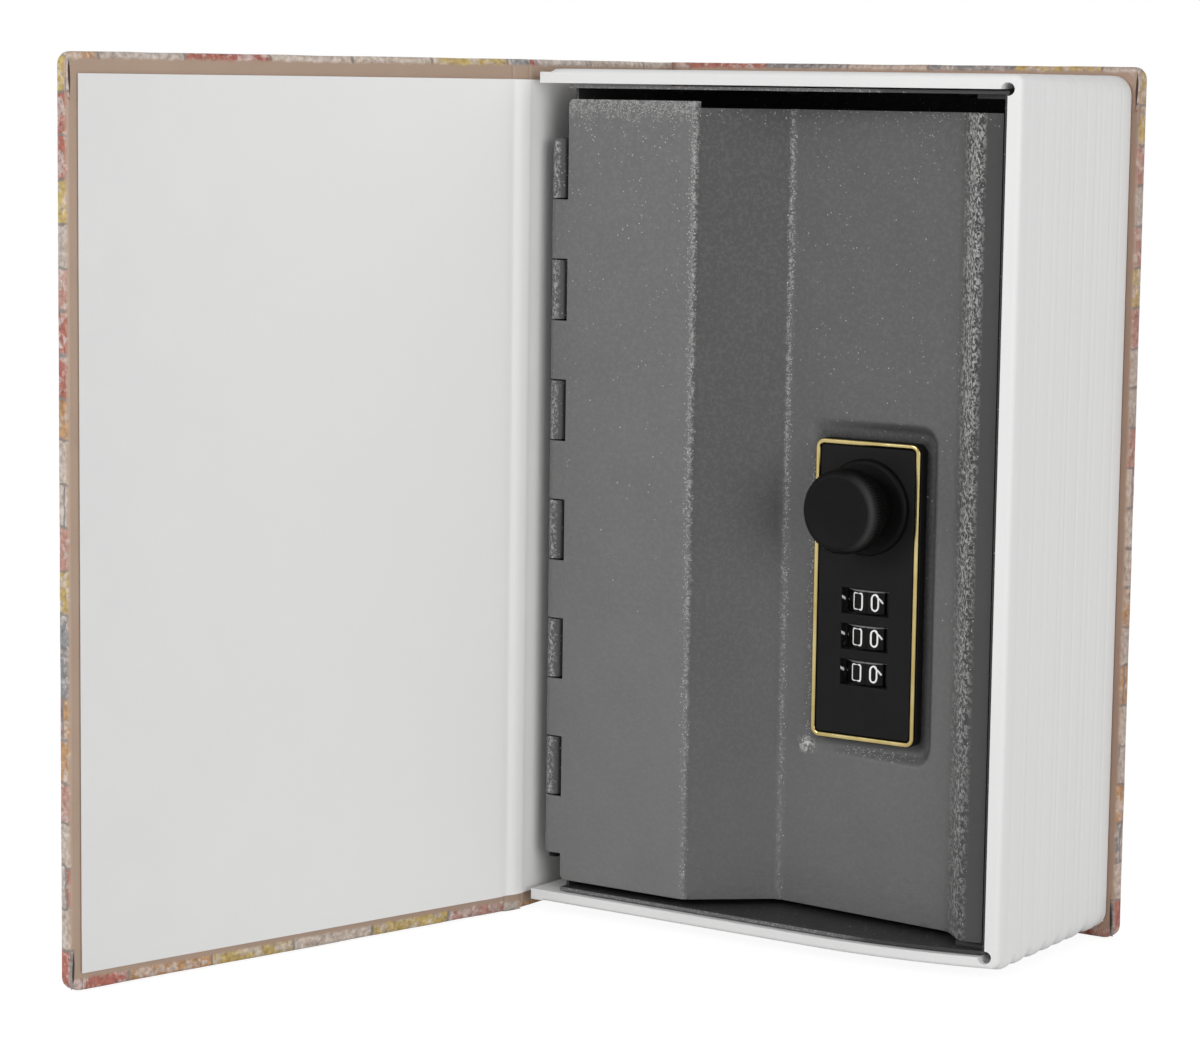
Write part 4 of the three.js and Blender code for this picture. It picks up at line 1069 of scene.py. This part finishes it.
for vert in shape.verts:
    x, depth = path[round(vert.co.x)]
    z = rows[round(vert.co.y)]
    pressed = into_seat(x, z) if vert.co.x >= TAB_STEPS else 0.0
    vert.co = place(x, depth * (1 - pressed) + SEAT_DEPTH * pressed, z)
bmesh.ops.recalc_face_normals(shape, faces=shape.faces)
corner_verts = [v for v in shape.verts if abs(v.co.x - place(DOOR_LEFT, 0, 0).x) < 1e-6
                and (abs(v.co.z - DOOR_TOP * MM) < 1e-6 or abs(v.co.z - DOOR_BOTTOM * MM) < 1e-6)]
rounded(shape, corner_verts, 1.1 * MM, 4, affect="VERTICES")
shape.normal_update()
if sum(f.normal.y * f.calc_area() for f in shape.faces if f.calc_center_median().x > place(12, 0, 0).x) > 0:
    bmesh.ops.reverse_faces(shape, faces=shape.faces)
bmesh.ops.solidify(shape, geom=shape.faces, thickness=SHEET * MM)
outer = shape.verts.layers.float.new("outer")
for vert in shape.verts:
    x, y, z = vert.co.x / MM + HINGE_X, vert.co.y / MM + FRONT_Y, vert.co.z / MM
    pressed = into_seat(x, z)
    front = face_depth(x) * (1 - pressed) + SEAT_DEPTH * pressed
    vert[outer] = 1.0 if y < front + SHEET / 2 else 0.0
bmesh.ops.recalc_face_normals(shape, faces=shape.faces)
rounded(shape, sharp_edges(shape, 60), 0.12 * MM, clamp=True)
door_sheet = new_piece("door_sheet", shape, door_paint, "door", hard=45)
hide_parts("door_panel")
print("door", len(door_sheet.data.polygons), "faces")

# %% [markdown]
# ## Steel box
# The box is a tray of thin sheet, and the camera sees its cut edge as a fine bright line inside
# the page frame; that edge keeps the full paint colour as a painted highlight, while the paint behind
# it is painted dark as shade. The imported solid already has the right walls and stop tabs, so a
# merged copy with rounded edges is enough; its rivets become low domes, spun from half a profile.

# %% Box, pin and rivets
softened("box_shell", box_paint, 0.12, clamp=True)
# painted shade: the pin takes the lock plate's black so that its top reads as the shade between the knuckles
pin = softened("hinge_pin", plate_black, 0.2)
PIN_DROP = 1.1
pin_top = max(vert.co.z for vert in pin.data.vertices)
for vert in pin.data.vertices:
    if vert.co.z > pin_top - MM:
        vert.co.z -= PIN_DROP * MM
RIVET_RADIUS, RIVET_HEIGHT = 2.2, 0.75


def dome(shape, spot, direction):
    before = set(shape.verts)
    profile = [(0.0, 1.0), (0.45, 0.94), (0.78, 0.68), (0.96, 0.3), (1.0, 0.0)]
    chain, edges = strung(shape, [(RIVET_RADIUS * r, 0, RIVET_HEIGHT * h) for r, h in profile])
    turned(shape, chain + edges, (0, 0, 1), 20)
    bmesh.ops.remove_doubles(shape, verts=[v for v in shape.verts if v not in before], dist=1e-6)
    new_verts = [v for v in shape.verts if v not in before]
    turn = Vector((0, 0, 1)).rotation_difference(Vector(direction)).to_matrix()
    bmesh.ops.rotate(shape, cent=(0, 0, 0), matrix=turn, verts=new_verts)
    bmesh.ops.scale(shape, vec=(MM, MM, MM), verts=new_verts)
    bmesh.ops.translate(shape, vec=spot, verts=new_verts)


box_low, box_high = span("box_shell")
shape = bmesh.new()
rivet_names = [n for n in nodes if "rivet" in n]
for name in sorted(rivet_names):
    low, high = span(name)
    middle = (low + high) / 2
    if name.startswith("box"):
        middle.y, direction = box_high.y - SHEET, (0, -1, 0)
    elif high.z > 170:
        middle.z, direction = box_high.z - SHEET, (0, 0, -1)
    elif low.z < 4:
        middle.z, direction = box_low.z + SHEET, (0, 0, 1)
    else:
        middle.x, direction = box_high.x - SHEET, (-1, 0, 0)
    dome(shape, place(*middle), direction)
rivets = new_piece("rivet_heads", shape, steel, "safe", hard=60)
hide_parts(*rivet_names)
print("rivets:", len(rivet_names))

# %% [markdown]
# ## Lock
# The lock face is a black plate in a polished brass rim. The knob and its collar are turned
# parts, so they are spun from a profile; on the knob's rim every other column of vertices is
# drawn in, which makes the fine ribs that fingers grip.

# %% Plate and rim
softened("lock_plate", plate_black, 0.25)
softened("lock_rim", brass, 0.42, 4, 40)
print("lock plate", [round(v, 2) for v in plate_low], [round(v, 2) for v in plate_high])

# %% Spin the knob and its collar
def spun(profile, steps, ribs=0.0, ribbed=()):
    shape = bmesh.new()
    ring = shape.verts.layers.int.new("ring")
    chain, edges = strung(shape, [(radius, depth, 0) for radius, depth in profile])
    for i, vert in enumerate(chain):
        vert[ring] = i
    turned(shape, chain + edges, (0, 1, 0), steps)
    bmesh.ops.remove_doubles(shape, verts=shape.verts, dist=1e-5)
    for vert in shape.verts:
        radius = math.hypot(vert.co.x, vert.co.z)
        angle = math.atan2(vert.co.z, vert.co.x)
        if vert[ring] in ribbed and round(angle / math.tau * steps) % 2:
            vert.co.x *= (radius - ribs) / radius
            vert.co.z *= (radius - ribs) / radius
        vert.co = place(KNOB[0] + vert.co.x, vert.co.y, KNOB[1] + vert.co.z)
    return shape


knob_profile = [(0, 0.95), (2.5, 0.93), (4.8, 0.8), (6.3, 0.62), (6.8, 0.52), (7.1, 0.5), (7.35, 0.55),
                (7.6, 0.7), (7.9, 1.0), (8.3, 1.45), (8.5, 1.9), (8.5, 5.4), (8.4, 5.9), (8.1, 6.25),
                (7.7, 6.35), (7.5, 6.7), (7.1, 8.4), (6.7, 10.35), (5.1, 10.4), (5.1, 11.75), (0, 11.75)]
knob = new_piece("knob_turned", spun(knob_profile, 168, 0.3, (9, 10, 11, 12)), knob_black, "knob",
                 hard=70)
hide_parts("knob")
collar_profile = [(5.6, 10.8), (8.8, 10.8), (9.3, 10.9), (9.65, 11.15), (9.8, 11.5), (9.8, 12.2), (5.6, 12.2),
                  (5.6, 10.8)]
collar = new_piece("collar_turned", spun(collar_profile, 72), knob_black, "door", hard=50)
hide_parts("knob_collar")
print("knob", len(knob.data.polygons), "faces")

# %% [markdown]
# ## Number wheels
# Each wheel carries the digits 0 to 9 in white, lying on their side so that a code reads down
# the lock. A digit is a few strokes: each stroke is bent round the wheel, drawn as a thin round
# tube and sunk until only a low ridge stands out, like pad-printed ink.

# %% Strokes of the digits
BEND_STEPS = 4


def stadium(left, far, low, high, bend):
    points = []
    for cx, cy, first in ((far - bend, high - bend, 0), (left + bend, high - bend, 90),
                          (left + bend, low + bend, 180), (far - bend, low + bend, 270)):
        for i in range(BEND_STEPS + 1):
            a = math.radians(first + 90 * i / BEND_STEPS)
            points.append((cx + bend * math.cos(a), cy + bend * math.sin(a)))
    return points + [points[0]]


nine = [stadium(0, 1, 0.42, 1, 0.28), [(0.93, 0.58), (0.7, 0.28), (0.47, 0.0)]]
digits = {
    0: [stadium(0, 1, 0, 1, 0.14)],
    1: [[(0.25, 0.78), (0.5, 1), (0.5, 0)]],
    2: [[(0.04, 0.76), (0.2, 0.95), (0.5, 1), (0.82, 0.93), (0.95, 0.72), (0.8, 0.5), (0.02, 0), (1, 0)]],
    3: [[(0.05, 0.9), (0.35, 1), (0.75, 0.96), (0.92, 0.76), (0.78, 0.57), (0.45, 0.52), (0.82, 0.46),
         (0.98, 0.24), (0.75, 0.03), (0.3, 0), (0, 0.12)]],
    4: [[(0.72, 0), (0.72, 1), (0, 0.3), (1, 0.3)]],
    5: [[(0.92, 1), (0.14, 1), (0.08, 0.56), (0.5, 0.62), (0.88, 0.5), (0.97, 0.25), (0.75, 0.03), (0.3, 0),
         (0, 0.1)]],
    6: [[(1 - x, 1 - y) for x, y in stroke] for stroke in nine],
    7: [[(0, 1), (1, 1), (0.4, 0)]],
    8: [stadium(0.08, 0.92, 0.54, 1, 0.22), stadium(0, 1, 0, 0.54, 0.26)],
    9: nine,
}
print("strokes:", {digit: len(strokes) for digit, strokes in digits.items()})

# %% Print them round each wheel
WHEEL_X, WHEEL_Y, WHEEL_R = 75.6, 19.9, 7.3
DIGIT_WIDE, DIGIT_TALL, STROKE = 3.3, 2.35, 0.72
FIRST_TURN, DIGIT_TURN, INK_RISE = -15.8, 36, 0.06


def ink(name, height):
    curve = bpy.data.curves.new(name, "CURVE")
    curve.dimensions = "3D"
    curve.bevel_depth = STROKE / 2 * MM
    curve.bevel_resolution = 2
    curve.use_fill_caps = True
    for digit, strokes in digits.items():
        middle = math.radians(FIRST_TURN - DIGIT_TURN * digit)
        for stroke in strokes:
            spline = curve.splines.new("POLY")
            closed = stroke[0] == stroke[-1]
            points = stroke[:-1] if closed else stroke
            spline.points.add(len(points) - 1)
            spline.use_cyclic_u = closed
            for point, (gx, gy) in zip(spline.points, points):
                angle = middle - (gy - 0.5) * DIGIT_TALL / WHEEL_R
                radius = WHEEL_R - STROKE / 2 + INK_RISE
                at = place(WHEEL_X + radius * math.sin(angle), WHEEL_Y - radius * math.cos(angle),
                           height + (gx - 0.5) * DIGIT_WIDE)
                point.co = (*at, 1)
    holder = add_object(name, curve)
    mesh = bpy.data.meshes.new_from_object(holder.evaluated_get(bpy.context.evaluated_depsgraph_get()))
    bpy.data.objects.remove(holder)
    mesh.name = name
    mesh.materials.clear()
    mesh.materials.append(digit_white.material)
    return add_object(name, mesh)


for i, body in ((1, "upper_wheel"), (2, "middle_wheel"), (3, "lower_wheel")):
    softened(f"number_wheel_{i}", wheel_black, 0.14)
    low, high = span(f"number_wheel_{i}")
    marks = ink(f"wheel_digits_{i}", (low.z + high.z) / 2)
    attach(marks, body)
print("wheels dressed: 3")

# %% [markdown]
# A short slanted tick beside each window shows where the code is read. It is painted on the left
# wall of the window.

# %% Index ticks
shape = bmesh.new()
WINDOW_LEFT = 70.1
TICK = [(12.6, 1.0), (14.0, 0.45), (14.0, -0.15), (12.6, 0.45)]
for i in (1, 2, 3):
    low, high = span(f"number_wheel_{i}")
    middle = (low.z + high.z) / 2
    slab(shape, [place(WINDOW_LEFT - 0.05, y, middle + rise) for y, rise in TICK], (0.09 * MM, 0, 0))
rounded(shape, list(shape.edges), 0.02 * MM, 1, True)
ticks = new_piece("index_ticks", shape, digit_white, "door")
print("ticks:", len(ticks.data.polygons), "faces")

# %% [markdown]
# ## Everything behind the door
# The housing, cam, keeper and lever are seen when the door stands open. They keep their solids,
# with rounded edges where a cast or stamped part has them, and each gets its own metal.

# %% Finish the inside parts
softened("lock_housing", zinc, 0.35)
softened("latch_cam", steel, 0.2)
softened("latch_keeper", steel, 0.2)
softened("code_lever", steel, 0.12)
finishes = {"bright_steel": steel, "rim_brass": brass, "housing_grey": zinc, "endpaper": white_paper,
            "knob_black": knob_black, "wheel_black": wheel_black}
kept = [name for name, obj in nodes.items() if not obj.hide_render]
for name in kept:
    data = nodes[name].data
    data.materials.clear()
    data.materials.append(finishes[slots[name]].material)
print("kept solids:", sorted(kept))
